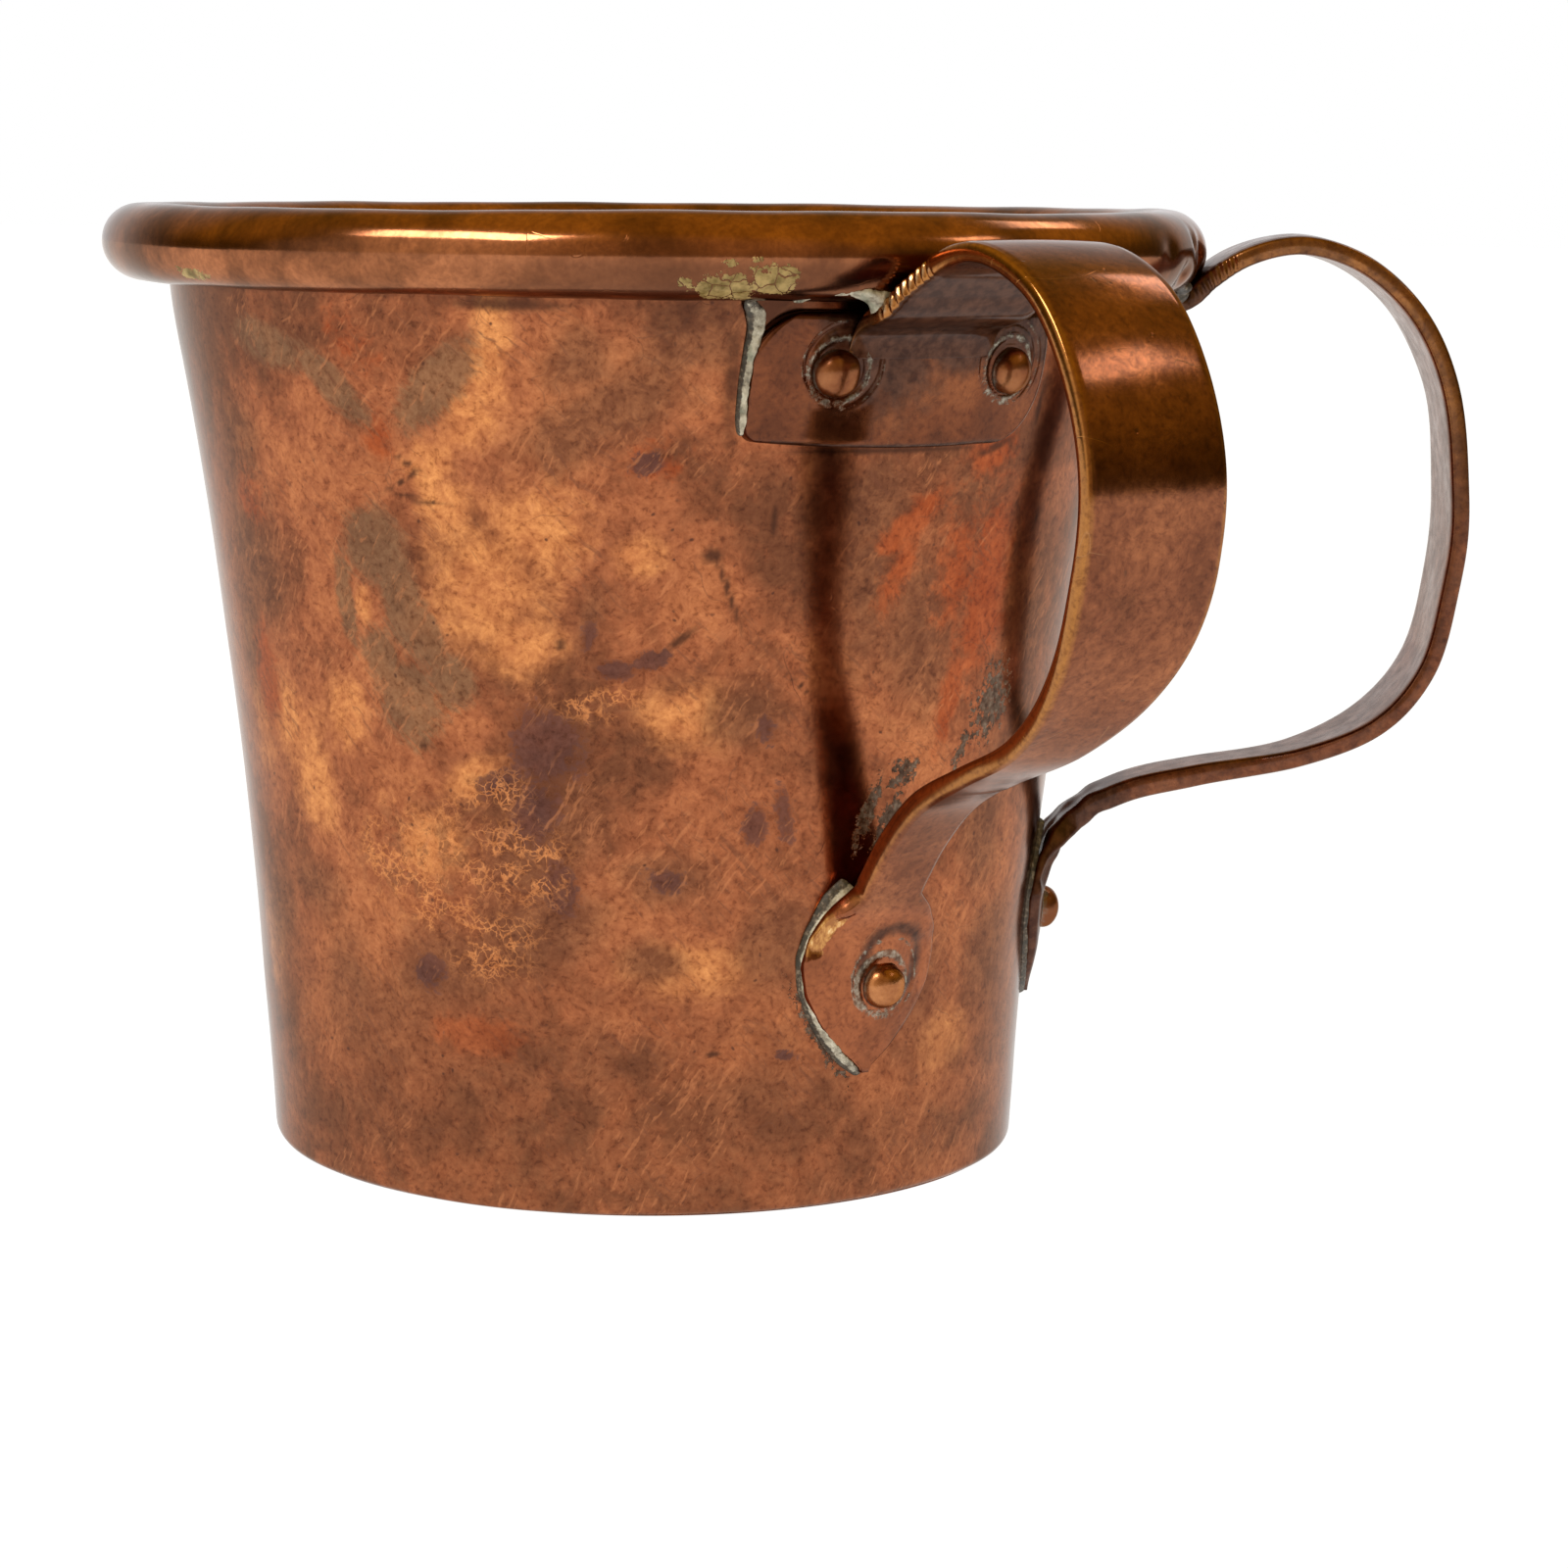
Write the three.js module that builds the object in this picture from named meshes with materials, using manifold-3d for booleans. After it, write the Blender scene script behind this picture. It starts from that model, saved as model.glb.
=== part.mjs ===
// A two-handled copper cup: a tapered sheet-copper body with its rim curled over an iron wire, a let-in
// base disc, and two forged strap handles, each riveted and soldered on by a plate under the rim and a
// leaf near the base. Millimetres, +Z up. The origin is the centre of the underside of the base disc,
// which is the plane that the cup stands on. +X runs out along the side handle, to within a degree.
import * as THREE from 'three';
import { mergeVertices } from 'three/addons/utils/BufferGeometryUtils.js';
import Module from 'manifold-3d';

const wasm = await Module();
wasm.setup();

// ---- driving dimensions ----
const CUP_HEIGHT = 128.7;
const RIM_RADIUS = 75;
const BEAD_RADIUS = 5.15; // half the thickness of the curled rim
const SHEET = 1.2; // thickness of the body's copper sheet
const BASE_RADIUS = 51.8;
const WALL_SLOPE = 0.0496; // the wall's radius grows by slope * z + flare * z * z
const WALL_FLARE = 0.00059;
const FOOT_ROUND = 1; // rounding of the wall's bottom edge
const CURL_END = -136; // degrees round the bead, counted from its outermost point, where the curl ends
const GAP = 0.3; // the clearance kept between touching pieces
const DISC_THICKNESS = 1.5;
const BASE_FILLET = 1.9; // legs of the solder fillet between the disc and the wall

const FRONT_BEARING = -56.4; // degrees about +Z, counted from +X
const SIDE_BEARING = -1;
const PLATE = { bottom: 100.7, top: 116.8, half: 22.2, shift: -1.4, corner: 4.5, belly: 0.9, thickness: 2 };
const LEAF = { shift: 0.5, thickness: 1.9 };
const STRAP = { half: 10.3, rootHalf: 9.6, neckHalf: 4.8, thickness: 2.5, neckThickness: 3, endThickness: 1.4 };
const RIVET = { headRadius: 3, headHeight: 2.2, shankRadius: 1.7, tailRadius: 3.2, tailHeight: 1.1 };
const RIVET_PITCH = 25.7; // between the two rivets of a plate
const PLATE_RIVET_Z = 109.6;
const LEAF_RIVET = { across: 1.7, z: 30 };

const ROUND_STEPS = 48; // facets round the cup
const CURL_STEPS = 11; // facets over the curled rim
const WIRE_STEPS = 8;
const RIVET_STEPS = 12;
const STRAP_STEPS = 42;
const COPPER = { color: 0xa8643c, roughness: 0.38, metalness: 1 };
const IRON = { color: 0x4a4644, roughness: 0.6, metalness: 1 };
const SOLDER = { color: 0x9a9a8c, roughness: 0.55, metalness: 1 };

const beadCentre = { radius: RIM_RADIUS - BEAD_RADIUS, z: CUP_HEIGHT - BEAD_RADIUS };
const curlInside = BEAD_RADIUS - SHEET;
const wallTopRadius = beadCentre.radius - curlInside;
const degrees = THREE.MathUtils.degToRad;
const { lerp, smoothstep } = THREE.MathUtils;

const wallRadius = (z) => Math.min(BASE_RADIUS + WALL_SLOPE * z + WALL_FLARE * z * z, wallTopRadius);
const wallLean = (z) => WALL_SLOPE + 2 * WALL_FLARE * z;

// ---- closed meshes and solids ----

// Keeps only the position, merges shared points, drops collapsed triangles and turns the faces outward.
function closedMesh(geometry) {
  const bare = geometry.clone();
  bare.deleteAttribute('normal');
  bare.deleteAttribute('uv');
  const merged = mergeVertices(bare, 1e-3);
  const corners = merged.index.array;
  const kept = [];
  for (let i = 0; i < corners.length; i += 3) {
    const [a, b, c] = [corners[i], corners[i + 1], corners[i + 2]];
    if (a !== b && b !== c && c !== a) kept.push(a, b, c);
  }
  if (signedVolume(merged.attributes.position, kept) < 0) kept.reverse();
  merged.setIndex(kept);
  return merged;
}

function signedVolume(position, corners) {
  const at = (i) => new THREE.Vector3().fromBufferAttribute(position, corners[i]);
  let total = 0;
  for (let i = 0; i < corners.length; i += 3) total += at(i).dot(at(i + 1).cross(at(i + 2)));
  return total / 6;
}

function toSolid(geometry) {
  const mesh = closedMesh(geometry);
  const vertProperties = new Float32Array(mesh.attributes.position.array);
  const triVerts = new Uint32Array(mesh.index.array);
  return new wasm.Manifold(new wasm.Mesh({ numProp: 3, vertProperties, triVerts }));
}

function fromSolid(solid) {
  const { vertProperties, triVerts } = solid.getMesh();
  const geometry = new THREE.BufferGeometry();
  geometry.setAttribute('position', new THREE.BufferAttribute(new Float32Array(vertProperties), 3));
  geometry.setIndex([...triVerts]);
  return geometry;
}

function cutAway(geometry, cutters) {
  const rest = cutters.reduce((solid, cutter) => solid.subtract(toSolid(cutter)), toSolid(geometry));
  return fromSolid(rest);
}

function join(geometries) {
  const [first, ...others] = geometries.map(toSolid);
  return fromSolid(others.reduce((solid, other) => solid.add(other), first));
}

function named(name, geometry, look) {
  const mesh = new THREE.Mesh(closedMesh(geometry), new THREE.MeshStandardMaterial(look));
  mesh.name = name;
  return mesh;
}

// A ring or disc turned about +Z from a profile of [radius, z] points.
function turned(profile, steps = ROUND_STEPS) {
  const points = profile.map(([radius, z]) => new THREE.Vector2(radius, z));
  return new THREE.LatheGeometry(points, steps).rotateX(Math.PI / 2);
}

const closedRing = (profile) => turned([...profile, profile[0]]);

function arc(centre, radius, fromDegrees, toDegrees, steps) {
  const points = [];
  for (let i = 0; i <= steps; i++) {
    const angle = degrees(lerp(fromDegrees, toDegrees, i / steps));
    points.push([centre.radius + radius * Math.cos(angle), centre.z + radius * Math.sin(angle)]);
  }
  return points;
}

// A closed sheet-like solid on a grid: pointAt(along, across, side) gives its two faces, side 0 and side 1.
function slab(rows, columns, pointAt) {
  const positions = [];
  for (const side of [0, 1]) {
    for (let i = 0; i <= rows; i++) {
      for (let j = 0; j <= columns; j++) positions.push(...pointAt(i / rows, j / columns, side));
    }
  }
  const id = (i, j, side) => side * (rows + 1) * (columns + 1) + i * (columns + 1) + j;
  const index = [];
  const quad = (a, b, c, d) => index.push(a, b, c, a, c, d);
  for (let i = 0; i < rows; i++) {
    for (let j = 0; j < columns; j++) {
      quad(id(i, j, 0), id(i + 1, j, 0), id(i + 1, j + 1, 0), id(i, j + 1, 0));
      quad(id(i, j, 1), id(i, j + 1, 1), id(i + 1, j + 1, 1), id(i + 1, j, 1));
    }
    quad(id(i, 0, 0), id(i, 0, 1), id(i + 1, 0, 1), id(i + 1, 0, 0));
    quad(id(i, columns, 0), id(i + 1, columns, 0), id(i + 1, columns, 1), id(i, columns, 1));
  }
  for (let j = 0; j < columns; j++) {
    quad(id(0, j, 0), id(0, j + 1, 0), id(0, j + 1, 1), id(0, j, 1));
    quad(id(rows, j, 0), id(rows, j, 1), id(rows, j + 1, 1), id(rows, j + 1, 0));
  }
  const geometry = new THREE.BufferGeometry();
  geometry.setAttribute('position', new THREE.Float32BufferAttribute(positions, 3));
  geometry.setIndex(index);
  return geometry;
}

// A handle is drawn facing +X. A point on the wall there is given by its way across, measured round the
// wall, its height z and how far it stands off the wall's outside.
function onWall(across, z, standoff) {
  const radius = wallRadius(z) + standoff;
  const angle = across / radius;
  return [radius * Math.cos(angle), radius * Math.sin(angle), z];
}

// ---- the body ----

function bodyProfile() {
  const foot = arc({ radius: BASE_RADIUS - FOOT_ROUND, z: FOOT_ROUND }, FOOT_ROUND, -90, 0, 3);
  const wallHeights = [20, 45, 70, 95, 118];
  const outside = wallHeights.map((z) => [wallRadius(z), z]);
  const curlUnder = arc(beadCentre, curlInside, 180, CURL_END, CURL_STEPS);
  const curlOver = arc(beadCentre, BEAD_RADIUS, CURL_END, 180, CURL_STEPS);
  const inside = wallHeights.map((z) => [wallRadius(z) - SHEET, z]).reverse();
  return [...foot, ...outside, ...curlUnder, ...curlOver, ...inside, [BASE_RADIUS - SHEET, 0]];
}

function rivetHoles(bearing, lift) {
  return rivetPlaces(lift).map((place) => rivetHole(place).rotateZ(degrees(bearing)));
}

function bodyShell() {
  const front = rivetHoles(FRONT_BEARING, FRONT_STRAP.leafLift);
  const side = rivetHoles(SIDE_BEARING, SIDE_STRAP.leafLift);
  return cutAway(closedRing(bodyProfile()), [...front, ...side]);
}

const rimWire = () => turned(arc(beadCentre, curlInside - GAP, 0, 360, WIRE_STEPS));

const discRadius = BASE_RADIUS - SHEET - GAP;

const baseDisc = () => turned([[0, 0], [discRadius, 0], [discRadius, DISC_THICKNESS], [0, DISC_THICKNESS]]);

function baseSolder() {
  const bottom = DISC_THICKNESS + GAP;
  const outer = BASE_RADIUS - SHEET - GAP;
  const middle = [outer - BASE_FILLET * 0.38, bottom + BASE_FILLET * 0.38];
  return closedRing([[outer, bottom], [outer, bottom + BASE_FILLET], middle, [outer - BASE_FILLET, bottom]]);
}

// ---- rivets ----

function rivetPlaces(lift) {
  return [
    { name: 'rivet_upper_left', across: -RIVET_PITCH / 2, z: PLATE_RIVET_Z, flange: PLATE.thickness },
    { name: 'rivet_upper_right', across: RIVET_PITCH / 2, z: PLATE_RIVET_Z, flange: PLATE.thickness },
    { name: 'rivet_lower', across: LEAF_RIVET.across, z: LEAF_RIVET.z + lift, flange: LEAF.thickness },
  ];
}

// Moves a shape drawn about +Z, with z = 0 on the wall's outside, to its place square to the leaning wall.
function squareToWall(geometry, { across, z }) {
  const [x, y] = onWall(across, z, 0);
  geometry.rotateY(Math.PI / 2 + Math.atan(wallLean(z)));
  geometry.rotateZ(Math.atan2(y, x));
  return geometry.translate(x, y, z);
}

function rivet(place) {
  const { headRadius, headHeight, shankRadius, tailRadius, tailHeight } = RIVET;
  const seat = place.flange + 2 * GAP;
  const tail = -SHEET - GAP;
  const sphere = (headRadius ** 2 + headHeight ** 2) / (2 * headHeight);
  const dome = [];
  for (let i = 0; i <= 4; i++) {
    const radius = headRadius * Math.cos((i / 4) * Math.PI / 2);
    dome.push([radius, seat + headHeight - sphere + Math.sqrt(sphere ** 2 - radius ** 2)]);
  }
  const shank = [[tailRadius, tail], [shankRadius, tail], [shankRadius, seat]];
  const profile = [[0, tail - tailHeight], [tailRadius * 0.7, tail - tailHeight], ...shank, ...dome];
  return squareToWall(turned(profile, RIVET_STEPS), place);
}

function rivetHole(place) {
  const reach = 6;
  const bore = RIVET.shankRadius + GAP;
  return squareToWall(turned([[0, -reach], [bore, -reach], [bore, reach], [0, reach]], RIVET_STEPS), place);
}

// ---- handles ----

// Both straps start at the same root, let into the plate. Every outline is [radius, z] of the outer face.
const STRAP_ROOT = [[66.4, 111], [67.2, 114.6], [69, 116.9], [72.6, 118.5], [75.1, 120.9]];

// The loops are bent by hand, so they differ: the front one is rounder and the side one squarer.
// taper says between which parts of the strap's length it narrows, leafLift how much higher its leaf sits.
const FRONT_STRAP = {
  loop: [
    [79.6, 124], [86.5, 125.6], [94, 124.3], [101.5, 120.1], [107.5, 111.7], [110.9, 100.5], [111.2, 90],
    [107.3, 80], [101, 71.9], [91.5, 64.8], [80.5, 59.6], [71.5, 54.8], [65.3, 49],
  ],
  neck: [[61.8, 44.4], [59.3, 40.6], [57.3, 37.3], [56.2, 33.5]],
  taper: [0.52, 0.78],
  leafLift: 0,
};
const SIDE_STRAP = {
  loop: [
    [80.3, 124.2], [88.3, 126], [96.6, 123.6], [104.4, 117], [109.8, 106.5], [111.8, 92], [111.2, 80],
    [108.2, 66.9], [101.4, 58.5], [91, 53.5], [76.5, 50.1], [67.6, 47.9],
  ],
  neck: [[61.6, 44.7], [58.1, 41.2], [56.9, 38], [56.3, 35]],
  taper: [0.68, 0.84],
  leafLift: 1.8,
};

function strapCurve({ loop, neck }) {
  const points = [...STRAP_ROOT, ...loop, ...neck].map(([radius, z]) => new THREE.Vector3(radius, 0, z));
  return new THREE.CatmullRomCurve3(points, false, 'centripetal');
}

const strapHalfWidth = (f, taper) =>
  lerp(STRAP.rootHalf, STRAP.half, smoothstep(f, 0.03, 0.1)) -
  (STRAP.half - STRAP.neckHalf) * smoothstep(f, ...taper);

function strapThickness(f) {
  const full = lerp(STRAP.thickness, STRAP.neckThickness, smoothstep(f, 0.78, 0.9));
  const fromEnd = Math.min(smoothstep(f, 0, 0.05), 1 - smoothstep(f, 0.95, 1));
  return lerp(STRAP.endThickness, full, fromEnd);
}

// How far the strap is curved across to the wall's roundness: fully at its two ends, not at all between.
const strapWrap = (f) => 1 - smoothstep(f, 0.01, 0.07) + smoothstep(f, 0.93, 0.98);

function strap(shape) {
  const curve = strapCurve(shape);
  return slab(STRAP_STEPS, 3, (f, g, side) => {
    const outer = curve.getPointAt(f);
    const along = curve.getTangentAt(f);
    const depth = (1 - side) * strapThickness(f);
    const radius = outer.x + along.z * depth;
    const z = outer.z - along.x * depth;
    const across = lerp(-1, 1, g) * strapHalfWidth(f, shape.taper);
    const angle = across / radius;
    const wrap = strapWrap(f);
    const x = lerp(radius, radius * Math.cos(angle), wrap);
    const y = lerp(across, radius * Math.sin(angle), wrap);
    return [x, y, z];
  });
}

// Half the plate's width at a height: straight sides with rounded corners.
function plateHalf(z) {
  const { bottom, top, half, corner } = PLATE;
  const into = Math.max(0, corner - Math.min(z - bottom, top - z));
  return half - corner + Math.sqrt(corner ** 2 - into ** 2);
}

const PLATE_ROWS = [0, 0.06, 0.14, 0.25, 0.5, 0.75, 0.86, 0.94, 1];

function plate() {
  return slab(PLATE_ROWS.length - 1, 12, (f, g, side) => {
    const z = lerp(PLATE.bottom, PLATE.top, PLATE_ROWS[Math.round(f * (PLATE_ROWS.length - 1))]);
    const across = lerp(-1, 1, g) * plateHalf(z);
    const sag = PLATE.belly * (1 - smoothstep(f, 0, 1)) * (1 - (across / PLATE.half) ** 2);
    return onWall(across + PLATE.shift, z - sag, GAP + side * PLATE.thickness);
  });
}

// The leaf's right-hand edge as [across, z], from the neck round the shoulder to the tip.
const leafEdge = new THREE.SplineCurve([
  [4.9, 42], [7.3, 39.8], [9.7, 36.7], [10.6, 33.2], [9.8, 29], [7.4, 24.8], [4.2, 21.2], [0.5, 18.5],
].map(([across, z]) => new THREE.Vector2(across, z)));

function leaf(lift) {
  return slab(14, 6, (f, g, side) => {
    const edge = leafEdge.getPoint(f);
    return onWall(lerp(-1, 1, g) * edge.x + LEAF.shift, edge.y + lift, GAP + side * LEAF.thickness);
  });
}

function handle(shape) {
  const solid = join([plate(), strap(shape), leaf(shape.leafLift)]);
  return cutAway(solid, rivetPlaces(shape.leafLift).map(rivetHole));
}

// ---- solder ----

// A fillet of solder that lies on the wall along an edge. edgeAt(f) gives the edge as {across, z} with the
// direction away from the piece as {outAcross, outZ}; the solder is high at the edge and thins out.
function solderSeam(steps, edgeAt, width, height) {
  return slab(steps, 2, (f, g, side) => {
    const edge = edgeAt(f);
    const away = GAP + g * width * (0.6 + 0.4 * Math.sin(Math.PI * f));
    const rise = side * lerp(height, 0.25, Math.sqrt(g));
    return onWall(edge.across + edge.outAcross * away, edge.z + edge.outZ * away, GAP + rise);
  });
}

function sideSeam() {
  const edgeAt = (f) => {
    const z = lerp(PLATE.bottom + PLATE.corner * 0.4, PLATE.top - PLATE.corner * 0.6, f);
    return { across: PLATE.shift - plateHalf(z), z, outAcross: -1, outZ: 0 };
  };
  return solderSeam(7, edgeAt, 1.3, PLATE.thickness * 0.8);
}

function leafSeam(lift) {
  const edgeAt = (f) => {
    const part = lerp(0.12, 0.97, f);
    const edge = leafEdge.getPoint(part);
    const along = leafEdge.getTangent(part);
    return { across: LEAF.shift - edge.x, z: edge.y + lift, outAcross: along.y, outZ: along.x };
  };
  return solderSeam(12, edgeAt, 1.1, LEAF.thickness * 0.8);
}

// The solder run into the corner between the plate's top edge, the wall and the underside of the rim.
function rootSeam() {
  const rows = [
    { z: 117.4, height: 1.7 }, { z: 117.9, height: 2.3 }, { z: 118.6, height: 1.1 }, { z: 119.2, height: 0.3 },
  ];
  const half = PLATE.half - 3;
  return slab(rows.length - 1, 12, (f, g, side) => {
    const { z, height } = rows[Math.round(f * (rows.length - 1))];
    return onWall(lerp(-half, half, g) + PLATE.shift, z, GAP + side * height);
  });
}

// ---- assembly ----

function handleGroup(prefix, bearing, shape) {
  const group = new THREE.Group();
  group.rotation.z = degrees(bearing);
  group.add(named(`${prefix}_handle`, handle(shape), COPPER));
  for (const place of rivetPlaces(shape.leafLift)) group.add(named(`${prefix}_${place.name}`, rivet(place), COPPER));
  group.add(named(`${prefix}_plate_solder`, sideSeam(), SOLDER));
  group.add(named(`${prefix}_rim_solder`, rootSeam(), SOLDER));
  group.add(named(`${prefix}_leaf_solder`, leafSeam(shape.leafLift), SOLDER));
  return group;
}

const cup = new THREE.Group();
cup.add(named('body_shell', bodyShell(), COPPER));
cup.add(named('rim_wire', rimWire(), IRON));
cup.add(named('base_disc', baseDisc(), COPPER));
cup.add(named('base_solder', baseSolder(), SOLDER));
cup.add(handleGroup('front', FRONT_BEARING, FRONT_STRAP));
cup.add(handleGroup('side', SIDE_BEARING, SIDE_STRAP));

export default cup;
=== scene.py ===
"""An old two-handled copper cup: sheet-copper body with a rim curled over wire, and two riveted strap handles.

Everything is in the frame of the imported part: +Z up, the origin in the middle of the underside. The shapes
below are worked out in millimetres and turned into metres when a mesh is made. An azimuth counts from -Y
towards +X; an angle or a bearing counts from +X towards +Y.
"""

import functools
import math

import bmesh
import bpy
import numpy as np
from mathutils import Matrix, Vector, noise


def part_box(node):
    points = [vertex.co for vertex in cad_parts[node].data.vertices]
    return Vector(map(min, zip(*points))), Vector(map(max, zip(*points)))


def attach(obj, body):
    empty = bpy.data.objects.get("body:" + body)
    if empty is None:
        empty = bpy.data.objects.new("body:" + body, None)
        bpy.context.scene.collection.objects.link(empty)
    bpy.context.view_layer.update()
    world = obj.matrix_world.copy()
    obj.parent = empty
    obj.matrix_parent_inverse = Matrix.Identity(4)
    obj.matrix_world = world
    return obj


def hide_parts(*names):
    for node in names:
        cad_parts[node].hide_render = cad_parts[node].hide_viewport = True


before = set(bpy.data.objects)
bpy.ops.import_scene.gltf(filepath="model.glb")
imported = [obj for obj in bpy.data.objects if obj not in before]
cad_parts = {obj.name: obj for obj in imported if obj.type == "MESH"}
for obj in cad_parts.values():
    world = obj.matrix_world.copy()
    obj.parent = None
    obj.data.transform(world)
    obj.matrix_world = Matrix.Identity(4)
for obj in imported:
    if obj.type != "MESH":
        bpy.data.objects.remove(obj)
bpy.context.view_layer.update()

MM = 0.001
TURN = 2 * math.pi


def spread(node):
    """Lowest and highest corner of a CAD node in millimetres."""
    low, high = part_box(node)
    return np.array(low) / MM, np.array(high) / MM


def bearing_of(prefix):
    """Degrees about +Z, counted from +X, half-way between a handle's two upper rivets."""
    points = [sum(spread(f"{prefix}_rivet_upper_{side}")) / 2 for side in ("left", "right")]
    middle = points[0] + points[1]
    return math.degrees(math.atan2(middle[1], middle[0]))


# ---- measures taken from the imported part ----
body_high = spread("body_shell")[1]
wire_low, wire_high = spread("rim_wire")
RIM_RADIUS, CUP_HEIGHT = body_high[1], body_high[2]
BEAD = (CUP_HEIGHT - wire_high[2]) + 0.5 * (wire_high[2] - wire_low[2])  # the curled rim's own radius
DISC_RADIUS, _, DISC_TOP = spread("base_disc")[1]
BEARINGS = {prefix: bearing_of(prefix) for prefix in ("front", "side")}

# ---- shape constants, as in the CAD source ----
BASE_RADIUS = 51.8
WALL_SLOPE = 0.0496
WALL_FLARE = 0.00059
SHEET = 1.2
FOOT_ROUND = 1.3
BEAD_CENTRE = (RIM_RADIUS - BEAD, CUP_HEIGHT - BEAD)
CURL_INSIDE = BEAD - SHEET
WALL_TOP_RADIUS = BEAD_CENTRE[0] - CURL_INSIDE


def smoothstep(x, low, high):
    t = np.clip((np.asarray(x, float) - low) / (high - low), 0, 1)
    return t * t * (3 - 2 * t)


def fade(x, low, high):
    return 1 - smoothstep(x, low, high)


def lerp(a, b, t):
    return a + (b - a) * t


def highest(*fields):
    return functools.reduce(np.maximum, fields)


def blot(u, v):
    """1 in the middle of a spot, 0.5 on its outline, where u and v are on the unit circle, and 0 well outside."""
    return np.clip(1 - np.hypot(u, v) / 2, 0, 1)


def ridge(x, centre, width):
    return np.exp(-((x - centre) / width) ** 2)


def past(azimuth, degrees):
    """How far azimuths in radians are past one in degrees, from minus half a turn to half a turn."""
    return (azimuth - math.radians(degrees) + math.pi) % TURN - math.pi


def resample(share, values):
    """Evenly spaced values, read off at shares from 0 to 1 of their whole run."""
    return np.interp(share, np.linspace(0, 1, len(values)), values)


def waves(seed, count, shortest, longest, amplitude):
    """A smooth wandering field of two coordinates in mm: a sum of sine waves with fixed seeds."""
    rng = np.random.default_rng(seed)
    lengths = rng.uniform(shortest, longest, count)
    headings = rng.uniform(0, math.pi, count)
    phases = rng.uniform(0, TURN, count)

    def field(x, y):
        total = 0
        for length, heading, phase in zip(lengths, headings, phases):
            k = TURN / length
            total = total + np.sin(k * (x * math.cos(heading) + y * math.sin(heading)) + phase)
        return amplitude * total / math.sqrt(count)

    return field


def grain(points, size, seed=0):
    """Perlin noise at each point, about -1 to 1, with features of that size in mm."""
    shift = Vector((seed * 17.3, seed * 5.1, seed * 9.7))
    flat = np.asarray(points, float).reshape(-1, 3)
    values = np.array([noise.noise(Vector(p) / size + shift) for p in flat])
    return values.reshape(np.asarray(points).shape[:-1])


# ---- the wall ----
hammering = waves(3, 26, 14, 46, 0.085)
out_of_round = waves(8, 5, 90, 190, 0.16)
WALL_MEAN = 58  # a middling radius, for laying angles out as lengths


def wall_radius(z, angle):
    """The wall's outside radius at a height and an angle about +Z in radians, dents included."""
    z = np.asarray(z, float)
    clean = BASE_RADIUS + WALL_SLOPE * z + WALL_FLARE * z * z
    clean = WALL_TOP_RADIUS - np.logaddexp(0, (WALL_TOP_RADIUS - clean) * 2.2) / 2.2
    # the angle is laid out as two periodic lengths, so that the field closes round the cup
    x, y = WALL_MEAN * np.cos(angle), WALL_MEAN * np.sin(angle)
    free = smoothstep(z, 0, 12) * fade(z, 108, 118)
    dents = (hammering(x, z * 0.9) + hammering(y, z * 0.9 + 40)) * 0.7
    return clean + free * dents + free * out_of_round(x + 31, y + z)


def mesh_piece(name, points, faces, materials, attributes, face_material=None):
    """Makes one closed, smooth object from points in mm, with named per-point values that its material reads."""
    mesh = bpy.data.meshes.new(name)
    points = np.asarray(points, float)
    mesh.from_pydata((points.reshape(-1, 3) * MM).tolist(), [], faces)
    for key, values in attributes.items():
        vector = np.shape(values) == points.shape
        values = np.broadcast_to(values, points.shape if vector else points.shape[:-1]).astype(np.float32)
        made = mesh.attributes.new(key, "FLOAT_VECTOR" if vector else "FLOAT", "POINT")
        made.data.foreach_set("vector" if vector else "value", values.ravel())
    mesh.polygons.foreach_set("use_smooth", [True] * len(mesh.polygons))
    piece = bpy.data.objects.new(name, mesh)
    bpy.context.scene.collection.objects.link(piece)
    for material in materials:
        mesh.materials.append(material)
    if face_material is not None:
        mesh.polygons.foreach_set("material_index", face_material)
    mesh.validate()
    mesh.update()
    bm = bmesh.new()
    bm.from_mesh(mesh)
    bmesh.ops.recalc_face_normals(bm, faces=bm.faces)
    if bm.calc_volume(signed=True) < 0:
        bmesh.ops.reverse_faces(bm, faces=bm.faces)
    bm.to_mesh(mesh)
    bm.free()
    return piece


def grid_faces(rows, columns, close_rows, close_columns):
    faces = []
    for i in range(rows if close_rows else rows - 1):
        for j in range(columns if close_columns else columns - 1):
            k, m = (i + 1) % rows, (j + 1) % columns
            faces.append((i * columns + j, i * columns + m, k * columns + m, k * columns + j))
    return faces


def tube_faces(rows, columns):
    """Faces of a tube of rows rings, with a cap at either end."""
    start = (rows - 1) * columns
    caps = [tuple(range(columns))[::-1], tuple(range(start, start + columns))]
    return grid_faces(rows, columns, False, True) + caps


# ---- materials ----


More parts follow.
